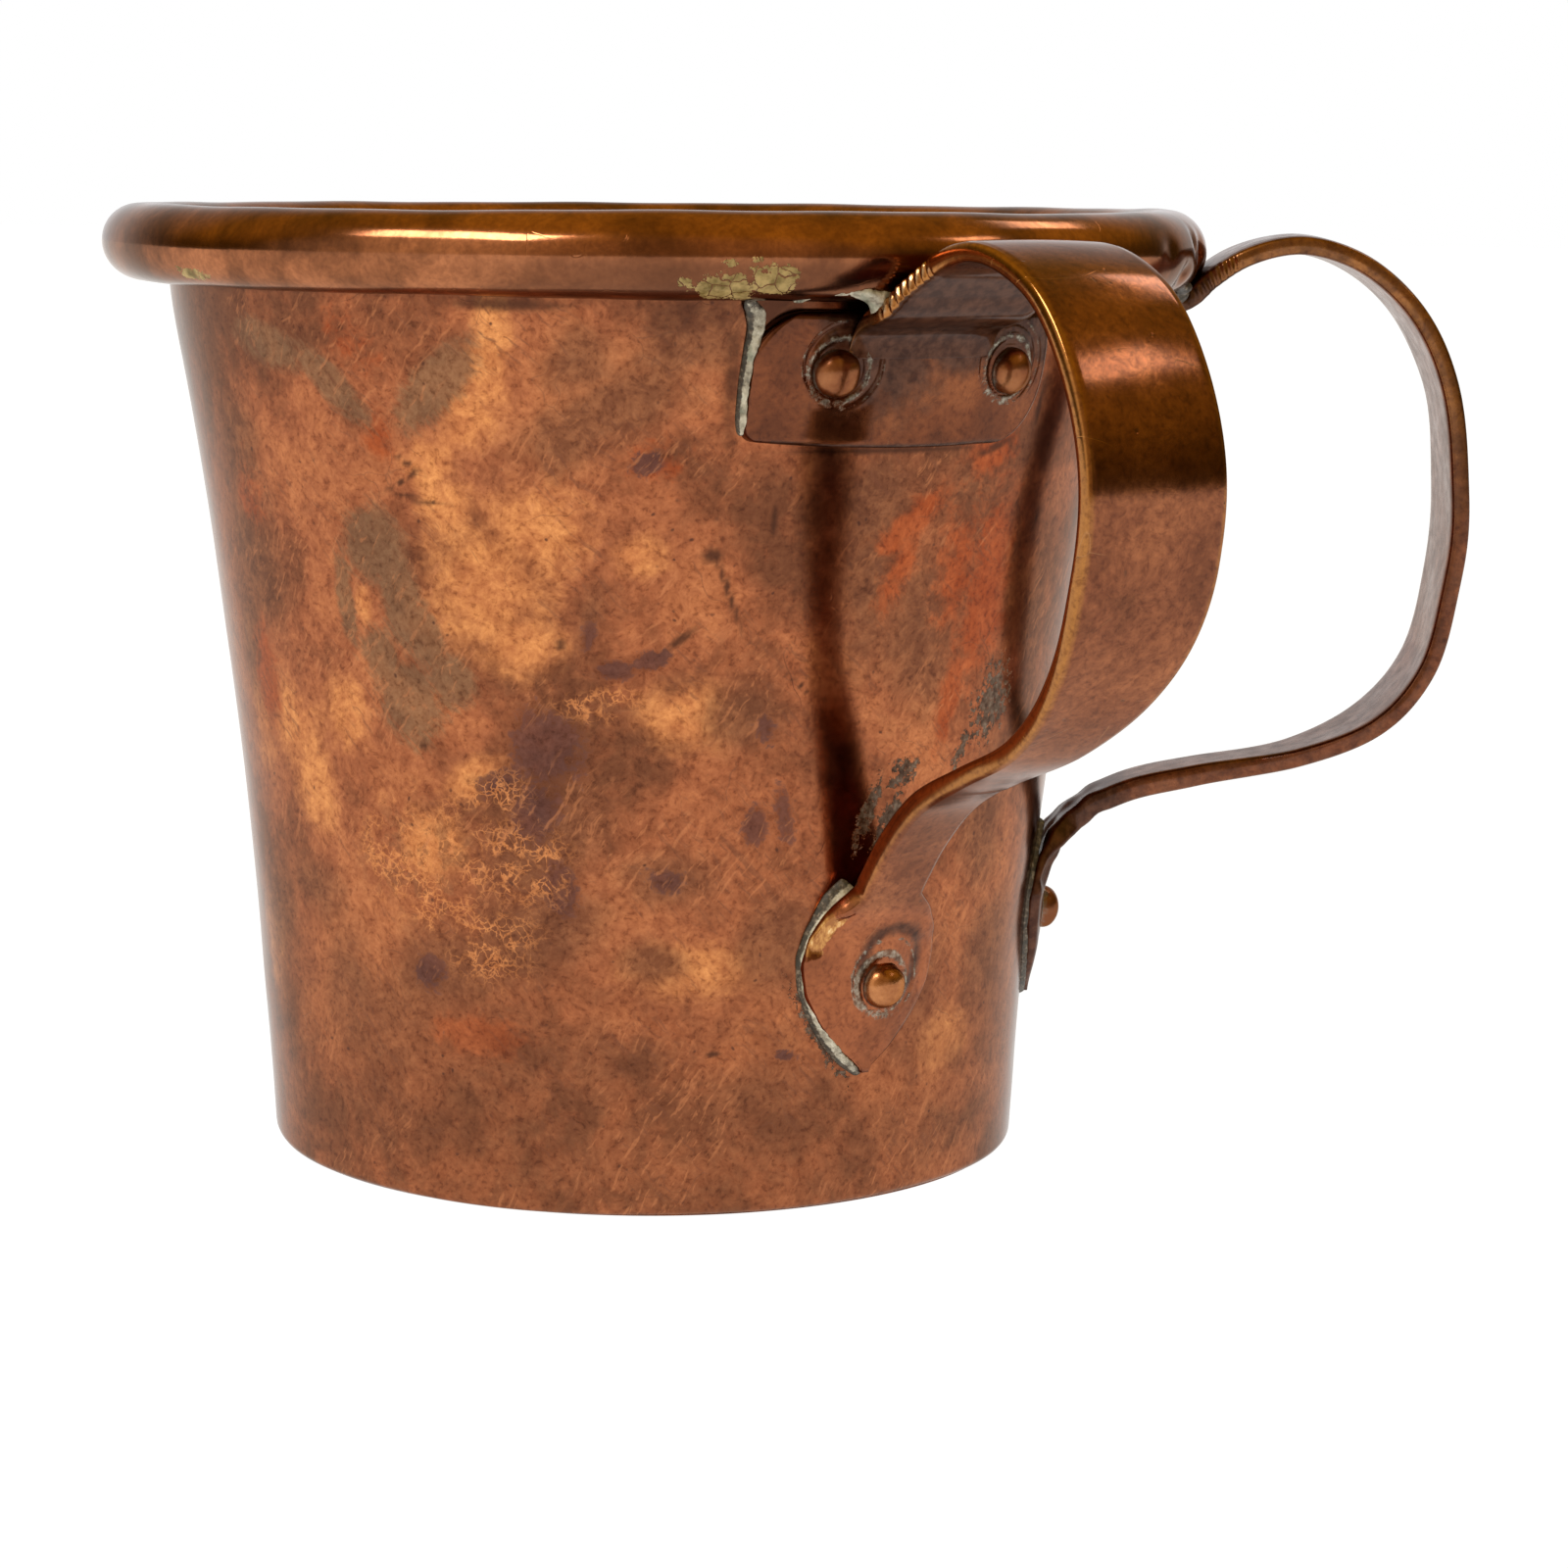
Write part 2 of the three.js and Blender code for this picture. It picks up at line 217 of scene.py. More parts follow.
class Wiring:
    """Short calls for making and linking the nodes of a material or a world."""

    def __init__(self, owner):
        owner.use_nodes = True
        self.tree = owner.node_tree
        self.tree.nodes.clear()

    def put(self, socket, value):
        if isinstance(value, bpy.types.NodeSocket):
            self.tree.links.new(value, socket)
        else:
            socket.default_value = value

    def node(self, kind, inputs=(), **settings):
        made = self.tree.nodes.new("ShaderNode" + kind)
        for key, value in settings.items():
            setattr(made, key, value)
        for key, value in dict(inputs).items():
            self.put(made.inputs[key], value)
        return made

    def math(self, operation, *values):
        return self.node("Math", enumerate(values), operation=operation).outputs[0]

    def times(self, a, b):
        return self.math("MULTIPLY", a, b)

    def rest(self, mask):
        """1 less the mask."""
        return self.math("SUBTRACT", 1.0, mask)

    def vectors(self, operation, a, b):
        return self.node("VectorMath", {0: a, 1: b}, operation=operation).outputs[0]

    def step(self, value, low, high):
        """0 at low and 1 at high, smooth between."""
        return self.node("MapRange", {"Value": value, "From Min": low, "From Max": high},
                         interpolation_type="SMOOTHSTEP").outputs[0]

    def mix(self, share, a, b, blend="MIX"):
        a, b = ((*c, 1) if isinstance(c, tuple) else c for c in (a, b))
        return self.node("Mix", {"Factor": share, 6: a, 7: b}, data_type="RGBA", blend_type=blend).outputs[2]

    def lerp(self, share, a, b):
        return self.node("Mix", {"Factor": share, 2: a, 3: b}, data_type="FLOAT").outputs[0]


class Look(Wiring):
    """A material that is painted layer on layer. Colours are linear and sizes are in mm."""

    def __init__(self, name, coat=0.0, coat_roughness=0.2, edge=(1.0, 1.0, 1.0), metallic=1.0):
        """The edge colour is how the metal reflects at a glancing angle."""
        self.material = bpy.data.materials.new(name)
        super().__init__(self.material)
        self.out = self.node("OutputMaterial")
        self.shader = self.node("BsdfPrincipled", {
            "Metallic": metallic, "Coat Weight": coat, "Coat Roughness": coat_roughness, "Specular Tint": (*edge, 1)})
        self.put(self.out.inputs["Surface"], self.shader.outputs[0])
        self.where = self.node("TexCoord").outputs["Object"]
        self.colour = None

    def noise(self, size, detail=4.0, rough=0.55, where=None):
        """Noise from 0 to 1 with features of about size mm."""
        return self.node("TexNoise", {"Vector": where or self.where, "Scale": 1 / (size * MM), "Detail": detail,
                                      "Roughness": rough}).outputs["Fac"]

    def warped(self, size, amount, detail=3.0):
        """The object's own coordinates, pushed about by noise of that size, by that many mm."""
        push = self.node("TexNoise", {"Vector": self.where, "Scale": 1 / (size * MM), "Detail": detail})
        centred = self.vectors("SUBTRACT", push.outputs["Color"], (0.5, 0.5, 0.5))
        scaled = self.node("VectorMath", {0: centred, "Scale": 2 * amount * MM}, operation="SCALE").outputs[0]
        return self.vectors("ADD", self.where, scaled)

    def stretched(self, *factors):
        return self.vectors("MULTIPLY", self.where, factors)

    def cells(self, size, where=None, feature="DISTANCE_TO_EDGE"):
        return self.node("TexVoronoi", {"Vector": where or self.where, "Scale": 1 / (size * MM)},
                         feature=feature).outputs["Distance"]

    def hairlines(self, size, thickness, where):
        """Fine curly scratches or threads: the thin borders of warped cells."""
        return self.rest(self.step(self.cells(size, where), 0.0, thickness))

    def scaled(self, value, gain, offset):
        return self.math("MULTIPLY_ADD", value, gain, offset)

    def weighted(self, a, share_a, b, share_b):
        return self.scaled(a, share_a, self.times(b, share_b))

    def stored(self, name, output="Fac"):
        """A per-point value stored on the mesh."""
        return self.node("Attribute", attribute_name=name).outputs[output]

    def broken(self, name, ragged, softness, amount=0.8):
        """A mask from the mesh value called name, its edge broken up by the ragged noise."""
        shifted = self.scaled(self.math("SUBTRACT", ragged, 0.5), amount, self.stored(name))
        return self.step(shifted, 0.5 - softness, 0.5 + softness)

    def ramp(self, value, stops):
        """A colour ramp. Each stop is a position and a colour, or a position and one number for a grey."""
        made = self.node("ValToRGB", {"Fac": value})
        elements = made.color_ramp.elements
        while len(elements) < len(stops):
            elements.new(0.5)
        for element, (position, *colour) in zip(elements, stops):
            element.position = position
            element.color = (*(colour if len(colour) == 3 else colour * 3), 1)
        return made.outputs["Color"]

    def paint(self, mask, share, colour, stops=None):
        """Lays a colour, or a ramp of stops along a value, over the look where the mask is 1."""
        self.colour = self.mix(self.times(mask, share), self.colour, self.ramp(colour, stops) if stops else colour)

    def layer(self, name, ragged, softness, amount, share, colour, stops=None):
        """Paints where the mesh value called name is high, and gives back the mask."""
        mask = self.broken(name, ragged, softness, amount)
        self.paint(mask, share, colour, stops)
        return mask

    def tint(self, value, stops):
        """Multiplies the look by near-greys that follow a value."""
        self.colour = self.tinted(self.colour, value, stops)

    def tinted(self, colour, value, stops):
        return self.mix(1.0, colour, self.ramp(value, stops), "MULTIPLY")

    def finish(self, roughness, heights=()):
        """heights is a list of (height socket, depth in mm)."""
        self.put(self.shader.inputs["Base Color"], self.colour)
        self.put(self.shader.inputs["Roughness"], roughness)
        normal = {}
        for height, depth in heights:
            bump = self.node("Bump", {"Height": height, "Distance": depth * MM, "Strength": 1.0, **normal})
            normal = {"Normal": bump.outputs["Normal"]}
        if normal:
            self.put(self.shader.inputs["Normal"], normal["Normal"])
        return self.material


def body_look():
    look = Look("body_copper", 0.25, 0.16, (0.62, 0.58, 0.54))
    soft = look.warped(30, 8)
    fine = look.warped(5, 1.4)
    big = look.noise(26, 3.0, 0.5, soft)
    mid = look.noise(8, 4.0, 0.6, soft)
    small = look.noise(2.6, 4.0, 0.65, fine)
    dots = look.noise(0.85, 3.0, 0.65, fine)
    # brushed streaks that run up the wall at a slant, one way and the other
    push = look.vectors("SUBTRACT", look.warped(9, 2.6), look.where)
    rising, falling = (look.noise(0.8, 3.0, 0.6, look.vectors("ADD", look.stored(name, "Vector"), push))
                       for name in ("slant_up", "slant_down"))

    tone = look.math("ADD", look.times(big, 0.56), look.times(mid, 0.3))
    tone = look.math("ADD", tone, look.times(small, 0.14))
    look.colour = look.ramp(tone, [(0.41, 0.165, 0.052, 0.02), (0.47, 0.25, 0.075, 0.028),
                                   (0.53, 0.36, 0.108, 0.04), (0.6, 0.46, 0.15, 0.054)])
    ragged = look.weighted(small, 0.4, mid, 0.6)
    look.layer("gold", ragged, 0.3, 0.9, 0.94, ragged, [(0.42, 0.54, 0.18, 0.058), (0.58, 0.7, 0.27, 0.085)])
    look.layer("brown", mid, 0.3, 0.9, 0.85, small, [(0.42, 0.165, 0.055, 0.023), (0.6, 0.235, 0.082, 0.033)])
    look.layer("red", small, 0.26, 1.2, 0.82, mid, [(0.4, 0.29, 0.043, 0.005), (0.6, 0.4, 0.083, 0.02)])
    # painted shade: the wall's colour darkens towards the foot, for the cup's own shadow on the floor that the wall
    # reflects
    look.paint(look.stored("low"), 0.8, mid, [
        (0.4, 0.165, 0.053, 0.02), (0.5, 0.235, 0.073, 0.027), (0.6, 0.31, 0.094, 0.034)])
    olive = look.layer("olive", look.weighted(rising, 0.55, small, 0.45), 0.15, 0.9, 0.94, mid, [
        (0.4, 0.2, 0.092, 0.043), (0.6, 0.27, 0.118, 0.052)])
    grainy = look.weighted(dots, 0.6, small, 0.4)
    purple = look.layer("purple", look.weighted(mid, 0.5, grainy, 0.5), 0.12, 2.8, 0.92, mid, [
        (0.4, 0.095, 0.034, 0.025), (0.6, 0.15, 0.05, 0.031)])

    # lacy pattern: thin bright threads round small dark cells
    threads = [look.hairlines(size, seam, look.warped(size * 0.9, warp, 4.0))
               for size, warp, seam in ((2.4, 1.5, 0.075), (1.35, 0.8, 0.09))]
    lace_here = look.broken("lace", mid, 0.3)
    look.paint(look.times(lace_here, look.step(small, 0.46, 0.6)), 0.7, (0.2, 0.066, 0.026))
    web = look.times(look.math("MAXIMUM", *threads), look.step(look.noise(3.4, 3.0), 0.38, 0.56))
    look.paint(look.times(lace_here, web), 0.85, (0.68, 0.25, 0.08))

    # mottling down to specks
    look.tint(dots, [(0.32, 0.62, 0.54, 0.48), (0.44, 0.94, 0.91, 0.88), (0.56, 1.05, 1.07, 1.07),
                     (0.7, 1.2, 1.28, 1.3)])
    look.tint(small, [(0.34, 0.86, 0.81, 0.77), (0.5, 1.0), (0.66, 1.08, 1.1, 1.1)])
    brushed = look.times(look.step(rising, 0.53, 0.68), look.step(look.noise(12, 2.0, 0.5, soft), 0.46, 0.6))
    look.paint(brushed, 0.5, (0.17, 0.056, 0.026))
    bright = look.times(look.step(falling, 0.54, 0.68), look.step(look.noise(15, 2.0, 0.5, fine), 0.48, 0.6))
    look.paint(bright, 0.38, (0.6, 0.22, 0.085))
    specks = look.step(look.cells(2.4, fine, "F1"), 0.15, 0.05)
    look.paint(look.times(specks, look.step(look.noise(8, 2.0), 0.5, 0.62)), 0.8, (0.07, 0.022, 0.012))
    curls = look.hairlines(11, 0.01, look.warped(8, 5, 2.0))
    scratch = look.times(curls, look.step(look.noise(13, 2.0), 0.52, 0.62))
    look.paint(scratch, 0.45, (0.16, 0.055, 0.026))

    bead = look.stored("bead")
    patchy = look.noise(13, 4.0, 0.6, soft)
    rim_colour = look.ramp(patchy, [(0.38, 0.155, 0.05, 0.017), (0.47, 0.24, 0.08, 0.029),
                                    (0.54, 0.33, 0.112, 0.042), (0.63, 0.43, 0.15, 0.058)])
    rim_colour = look.tinted(rim_colour, dots, [(0.36, 0.82, 0.8, 0.78), (0.64, 1.12, 1.15, 1.15)])
    # painted shade over the bead's lower front round the front handle
    rim_colour = look.mix(look.stored("rim_painted_shade"), rim_colour, (0.1, 0.034, 0.014))
    look.colour = look.mix(bead, look.colour, rim_colour)

    # crud speckles the wall behind the front handle, soot and painted shade darken the creases under the rim and the
    # lines under the handle's edges, and flakes hang on the rim
    crud = look.broken("crud", look.noise(1.0, 4.0, 0.72), 0.07, 3.2)
    crud = look.times(crud, look.step(look.stored("crud"), 0.05, 0.3))
    look.paint(crud, 0.8, look.noise(1.1, 3.0, 0.7), [
        (0.36, 0.05, 0.035, 0.022), (0.48, 0.17, 0.125, 0.085), (0.58, 0.27, 0.21, 0.155), (0.68, 0.44, 0.38, 0.3)])
    look.layer("soot_and_shade", look.noise(3.2, 4.0, 0.65), 0.35, 0.8, 0.88, (0.06, 0.018, 0.007))
    cracks = look.step(look.cells(2.4, look.warped(2, 0.6)), 0.01, 0.035)
    flake = look.times(look.broken("flake", look.noise(1.6, 4.0, 0.7), 0.03, 1.5), cracks)
    look.colour = look.mix(flake, look.colour, look.ramp(look.noise(1.8, 3.0, 0.6), [
        (0.35, 0.24, 0.165, 0.045), (0.62, 0.6, 0.45, 0.19)]))

    rough = look.scaled(mid, 0.16, 0.11)
    rough = look.lerp(look.times(olive, 0.6), rough, 0.34)
    rough = look.lerp(look.times(purple, 0.5), rough, 0.34)
    rough = look.lerp(look.times(bead, 0.7), rough, look.scaled(patchy, -0.25, 0.26))
    crust = look.math("MAXIMUM", crud, flake)
    return look.finish(look.lerp(crust, rough, 0.75), [
        (look.noise(7, 2.0, 0.5), 0.045), (small, 0.01), (dots, 0.004), (scratch, -0.008),
        (look.times(crust, look.noise(1.3, 4.0, 0.7)), 0.18)])


def inside_look():
    look = Look("inside_copper", 0.1)
    fine = look.warped(8, 2.5)
    big = look.noise(26, 4.0, 0.55, fine)
    small = look.noise(1.8, 4.0, 0.65, fine)
    look.colour = look.ramp(big, [(0.34, 0.2, 0.075, 0.033), (0.5, 0.36, 0.14, 0.06), (0.66, 0.5, 0.21, 0.09)])
    rings = look.noise(9, 3.0, 0.6, look.stretched(0.25, 0.25, 1.6))
    look.paint(look.step(rings, 0.5, 0.68), 0.5, (0.1, 0.042, 0.022))
    look.paint(look.stored("low"), 0.6, (0.09, 0.035, 0.018))
    look.paint(look.step(small, 0.55, 0.72), 0.5, (0.07, 0.03, 0.016))
    return look.finish(look.scaled(big, 0.25, 0.22), [(look.noise(8, 2.0), 0.06), (small, 0.015)])


def base_look():
    look = Look("base_copper", 0.1)
    fine = look.warped(7, 2.0)
    tone = look.noise(16, 5.0, 0.6, fine)
    small = look.noise(1.6, 4.0, 0.7, fine)
    look.colour = look.ramp(tone, [(0.35, 0.13, 0.05, 0.024), (0.5, 0.27, 0.105, 0.048), (0.65, 0.4, 0.165, 0.075)])
    look.paint(look.step(small, 0.5, 0.7), 0.5, (0.09, 0.036, 0.02))
    scuffs = look.hairlines(9, 0.02, look.warped(16, 7, 2.0))
    look.paint(scuffs, 0.6, (0.5, 0.24, 0.13))
    look.colour = look.mix(look.stored("rim"), look.colour, (0.3, 0.27, 0.22))
    return look.finish(look.scaled(tone, 0.35, 0.2), [(look.noise(9, 2.0), 0.08), (small, 0.02), (scuffs, -0.02)])


def handle_look():
    look = Look("handle_copper", 0.35, 0.13, (0.66, 0.58, 0.53))
    fine = look.warped(5, 1.4)
    tone = look.noise(13, 5.0, 0.58, fine)
    small = look.noise(1.5, 4.0, 0.65, fine)
    look.colour = look.ramp(tone, [(0.36, 0.16, 0.047, 0.017), (0.5, 0.225, 0.068, 0.026), (0.64, 0.3, 0.096, 0.036)])
    look.tint(small, [(0.36, 0.8, 0.76, 0.74), (0.64, 1.14, 1.18, 1.18)])
    look.layer("edge", look.noise(3, 3.0, 0.6), 0.3, 0.35, 0.85, (0.4, 0.16, 0.035))
    look.layer("leaf", tone, 0.3, 0.4, 0.9, tone, [
        (0.38, 0.22, 0.062, 0.021), (0.52, 0.32, 0.092, 0.032), (0.64, 0.42, 0.13, 0.046)])
    plate = look.stored("plate")
    look.colour = look.mix(plate, look.colour, look.ramp(tone, [
        (0.38, 0.115, 0.031, 0.01), (0.5, 0.175, 0.048, 0.015), (0.62, 0.25, 0.075, 0.024)]))
    dots = look.noise(0.85, 3.0, 0.65, fine)
    look.tint(dots, [(0.34, 0.7, 0.64, 0.6), (0.46, 0.96), (0.66, 1.16, 1.2, 1.2)])
    # a near-black layer: soot in places, painted shade under the strap's root and along the plate's top and edges
    soot_and_shade = look.layer("soot_and_shade", look.noise(2.6, 4.0, 0.65), 0.35, 0.9, 0.88, look.noise(1.6, 3.0, 0.6), [
        (0.4, 0.034, 0.012, 0.007), (0.62, 0.105, 0.045, 0.026)])
    verdigris = look.layer("verdigris", look.noise(1.0, 4.0, 0.7), 0.16, 1.2, 0.7, look.noise(0.7, 3.0, 0.6), [
        (0.38, 0.09, 0.07, 0.05), (0.5, 0.26, 0.24, 0.18), (0.64, 0.5, 0.49, 0.4)])
    filings = look.noise(1.0, 3.0, 0.6, look.stretched(1, 1, 0.5))
    look.layer("filed", look.noise(1.3, 3.0, 0.6), 0.1, 1.1, 0.95, filings, [
        (0.4, 0.36, 0.14, 0.04), (0.52, 0.62, 0.3, 0.09), (0.66, 0.95, 0.66, 0.32)])
    look.colour = look.mix(look.stored("bright"), look.colour, (0.44, 0.34, 0.22))
    pits = look.step(look.cells(3.2, fine, "F1"), 0.13, 0.04)
    pits = look.times(pits, look.step(look.noise(7, 2.0), 0.52, 0.62))
    look.paint(pits, 0.6, (0.12, 0.045, 0.02))
    lines = look.times(look.hairlines(12, 0.008, look.warped(22, 6, 2.0)), look.step(look.noise(12, 2.0), 0.54, 0.62))
    lines = look.times(lines, look.rest(soot_and_shade))
    look.paint(lines, 0.3, (0.5, 0.25, 0.11))
    rough = look.scaled(tone, 0.18, 0.06)
    rough = look.lerp(look.times(look.math("MAXIMUM", soot_and_shade, verdigris), 0.8), rough, 0.55)
    rough = look.lerp(look.times(plate, 0.5), rough, 0.3)
    return look.finish(rough, [
        (look.noise(5, 2.0, 0.5), 0.035), (small, 0.008), (dots, 0.006), (pits, -0.06), (lines, -0.008),
        (look.times(verdigris, look.noise(0.9, 3.0)), 0.08)])


def rivet_look():
    look = Look("rivet_copper", 0.15, 0.12, (0.6, 0.45, 0.36))
    tone = look.noise(3, 4.0, 0.6)
    dull, tail = look.stored("dull"), look.stored("tail")
    look.colour = look.mix(dull, look.ramp(tone, [(0.36, 0.3, 0.1, 0.034), (0.62, 0.58, 0.24, 0.09)]),
                           (0.15, 0.046, 0.02))
    skirt = look.layer("skirt", look.noise(0.8, 3.0, 0.6), 0.25, 0.8, 0.8, (0.3, 0.29, 0.24))
    look.paint(tail, 0.8, (0.16, 0.07, 0.035))
    rough = look.lerp(look.times(dull, 0.7), look.scaled(tone, 0.2, 0.14), 0.42)
    rough = look.lerp(look.math("MAXIMUM", skirt, tail), rough, 0.5)
    return look.finish(rough, [(look.noise(1.1, 3.0), 0.05), (look.noise(0.4, 2.0), 0.01)])


def solder_look():
    look = Look("solder", 0.05, metallic=0.3)
    tone = look.noise(1.7, 5.0, 0.65, look.warped(1.6, 0.5))
    look.colour = look.ramp(tone, [(0.3, 0.1, 0.085, 0.06), (0.42, 0.34, 0.3, 0.22),
                                   (0.54, 0.6, 0.55, 0.42), (0.68, 0.8, 0.76, 0.62)])
    look.paint(look.step(look.noise(2.6, 3.0), 0.52, 0.66), 0.45, (0.26, 0.31, 0.22))
    look.layer("dark", look.noise(1.0, 4.0, 0.7), 0.12, 1.2, 0.92, look.noise(0.7, 3.0, 0.6), [
        (0.42, 0.02, 0.014, 0.008), (0.56, 0.07, 0.045, 0.026), (0.68, 0.26, 0.21, 0.15)])
    look.layer("brass", look.noise(0.9, 3.0, 0.6), 0.2, 0.5, 0.8, (0.6, 0.36, 0.16))
    return look.finish(look.scaled(tone, 0.35, 0.3), [(tone, 0.22), (look.noise(0.5, 3.0), 0.05)])


def wire_look():
    look = Look("iron_wire")
    tone = look.noise(2.0, 5.0, 0.65)
    look.colour = look.ramp(tone, [(0.35, 0.03, 0.025, 0.022), (0.6, 0.09, 0.07, 0.06), (0.75, 0.2, 0.09, 0.045)])
    return look.finish(look.scaled(tone, 0.3, 0.4), [(tone, 0.1)])


def floor_look():
    look = Look("studio_floor", metallic=0.0)
    for key, value in {"Emission Color": (1, 1, 1, 1), "Emission Strength": 1.0, "Specular IOR Level": 0.0}.items():
        look.put(look.shader.inputs[key], value)
    look.colour = look.ramp(look.noise(300, 3.0), [(0.3, 0.1), (0.7, 0.12)])
    look.finish(0.75)
    # seen from below it lets the view through, so that the cup's underside can be looked at
    facing = look.node("NewGeometry").outputs["Backfacing"]
    clear = look.node("BsdfTransparent").outputs[0]
    both = look.node("MixShader", {0: facing, 1: look.shader.outputs[0], 2: clear}).outputs[0]
    look.put(look.out.inputs["Surface"], both)
    look.material.cycles.emission_sampling = "NONE"
    return look.material


BODY, INSIDE, BASE = body_look(), inside_look(), base_look()
HANDLE, RIVET, SOLDER, WIRE = handle_look(), rivet_look(), solder_look(), wire_look()

# ---- stains on the wall ----
# Each stain is (azimuth in degrees, height, half width, half height), and where they differ from 0 and 1 also its
# tilt in degrees and its strength.
STAINS = {
    "olive": [(-22.3, 107.1, 7.8, 3.2, 43), (-36.5, 106.3, 7.2, 2.2, -40), (-47, 111, 7, 2.6, -15),
        (-33, 86.5, 5, 5, 10), (-38.2, 79, 1.4, 6.5, 5), (-29.5, 80, 3, 8, 10), (-29.3, 67, 4.6, 6.2, 25),
        (-33, 72, 3, 4, 30), (-23, 69.5, 3.4, 3.6, 30), (-26, 75, 2.4, 5, 20)],
    "brown": [(-3.2, 103.7, 11, 4.6, 28), (-5.8, 110, 5, 4, 30), (7.3, 114, 8, 4.5), (5, 44.7, 5.5, 3.6),
        (-5, 78.6, 1.8, 6, -12, 0.8), (-36, 22.4, 9, 6), (30, 80, 4, 10, 0, 0.9), (-31, 22, 6, 4), (55, 50, 5, 10),
        (42, 30, 6, 9), (62, 75, 3, 14), (48, 8, 12, 4), (-8, 8, 14, 4), (-40, 12, 10, 5), (20, 14, 9, 5, 10),
        (22, 112, 8, 4), (5, 112, 7, 3.2, 30), (-56, 84, 6, 9, 10), (-57, 97, 5, 7), (-61, 72, 4, 8),
        (-28, 31, 8, 5, 20), (-43.7, 26, 4.5, 8, -10), (-11.7, 38, 8, 5, 25), (-4.9, 19, 3, 6), (-20, 17, 8, 4),
        (38, 76, 6.5, 9), (30, 93, 5, 6), (14, 66, 5, 4, 20), (-62, 35, 5, 7), (3, 34, 4, 3), (-11, 49, 8, 6, 40),
        (20, 36, 5, 6, 20), (44, 94, 4, 5), (-50, 40, 5, 4), (60, 30, 6, 8)],
    "purple": [(-10.6, 61.5, 4.4, 4.4), (5, 44.7, 3.2, 1.9, -8, 0.85), (-5, 76, 1.2, 3, -10, 0.7),
        (16.8, 64.9, 1.8, 4, 15, 0.7), (20, 53.3, 1.2, 4, 10, 0.7), (-12.2, 53.5, 2.8, 4.2, -10),
        (2.8, 73.4, 2.6, 1.3, 15), (2.1, 98.2, 3.2, 1.5, 20), (-29, 31, 2.6, 2.2), (-17, 57, 3, 1.5, 30),
        (-2, 72, 2.4, 1.2), (16, 52, 1.4, 2.2), (-9, 43, 2.2, 3.4), (21.7, 21.2, 1.8, 0.8, -15)],
    "mark": [(11.6, 81.8, 0.4, 5.2, 22), (9.6, 86.6, 1.2, 0.8), (11.6, 21.7, 0.8, 0.28), (-27, 97, 2.8, 0.32, -30),
        (-25.5, 92.5, 3.4, 0.36, -8), (-28, 94.6, 3, 0.26, 25), (-8.6, 75, 0.7, 0.6), (-27.6, 61, 0.5, 0.7),
        (14, 104.5, 0.45, 0.45), (6, 76, 2, 0.5, 35), (16.7, 91, 0.5, 1.6), (21, 70, 3, 0.25, -40)],
    "gold": [(-15.4, 113.5, 2.2, 5.5), (-16.2, 108.5, 2.8, 4.4), (-18.6, 103.4, 3.6, 3.4), (-19, 101.7, 5, 2, 35),
        (-24, 97, 3.6, 3, 20), (-22, 92, 3.6, 3.2), (-17.5, 82, 7.5, 8), (-11, 89.5, 6.5, 5), (-13.5, 75, 5, 4),
        (-51.7, 61, 5, 5), (-48, 54, 4, 5), (0.6, 86.4, 3, 2.2), (7.6, 33, 7, 3.4), (-20.5, 57.5, 4, 2, 30),
        (-27, 48, 4, 4), (-61, 60, 3, 5), (-40, 64, 3.4, 4.4), (7, 66, 5, 4), (-66, 30, 4, 6),
        (-35.3, 78.6, 1.2, 2.2), (50, 20, 5, 4)],
    "red": [(-30.7, 100.2, 2.2, 3.2, 0, 0.8), (-33.5, 112.3, 5.5, 3.2, -40, 0.62), (-55.6, 91, 3.4, 4.4, 0, 0.7),
        (-57.6, 66.8, 3, 6), (35.5, 91, 5.5, 1.7, 35), (32, 87.6, 1.8, 1.5), (49.5, 81, 4.2, 11, -6),
        (44.5, 67, 1.8, 6, -10), (-22, 23, 6, 2.6), (46, 100, 4, 4), (43, 84, 4, 8, 0, 0.85),
        (33.5, 84, 2, 5, -20, 0.8), (3, 98, 5, 3, 0, 0.55)],
    "lace": [(-26.5, 45, 7.5, 8), (-34.5, 46, 5, 6), (-14, 46, 6, 5), (-18.5, 54.1, 5, 3.6, 30), (-19, 36, 6, 5),
        (-4, 67.5, 5, 2)],
    "crud": [(26.9, 23.3, 6.2, 0.7, -57), (53.5, 65.5, 2.9, 4, -14), (48, 60, 0.7, 3, -25), (37.4, 57.5, 2, 1.3, 20),
        (32.3, 52.6, 0.9, 3.8, -20), (36, 52, 1.2, 2.6, -35), (34.5, 48.5, 0.8, 2, -20)],
    # the soot list is mostly painted shade: a band just under the rim all round, lines under the plate's lower and
    # right edges, a strip beside its left seam and a line along the leaf's lower left edge; it also darkens patches
    # just under the rim by the front handle
    "soot_and_shade": [(0, 119, 120, 1.1), (15, 117, 3.6, 2.6), (31, 99.5, 13, 0.5), (-13.6, 117.2, 9, 0.9),
        (11, 108, 1.2, 8, 0, 0.85), (5.5, 117, 9, 4.2, 0, 0.68), (27.2, 23.5, 6, 0.6, -57),
        (46.5, 99.3, 4.5, 0.5, 18), (54, 104.5, 0.5, 3.4, -8)],
}


def stain_field(stains, azimuth, z, radius):
    """The strongest of some stains at each point: 1 in the middle, 0.5 on the outline, 0 well outside."""
    best = np.zeros_like(z)
    for at, height, half_u, half_v, *more in stains:
        tilt, strength = more + [0, 1.0][len(more):]
        u, v = past(azimuth, at) * radius, z - height
        c, s = math.cos(math.radians(tilt)), math.sin(math.radians(tilt))
        best = np.maximum(best, strength * blot((u * c + v * s) / half_u, (v * c - u * s) / half_v))
    return best


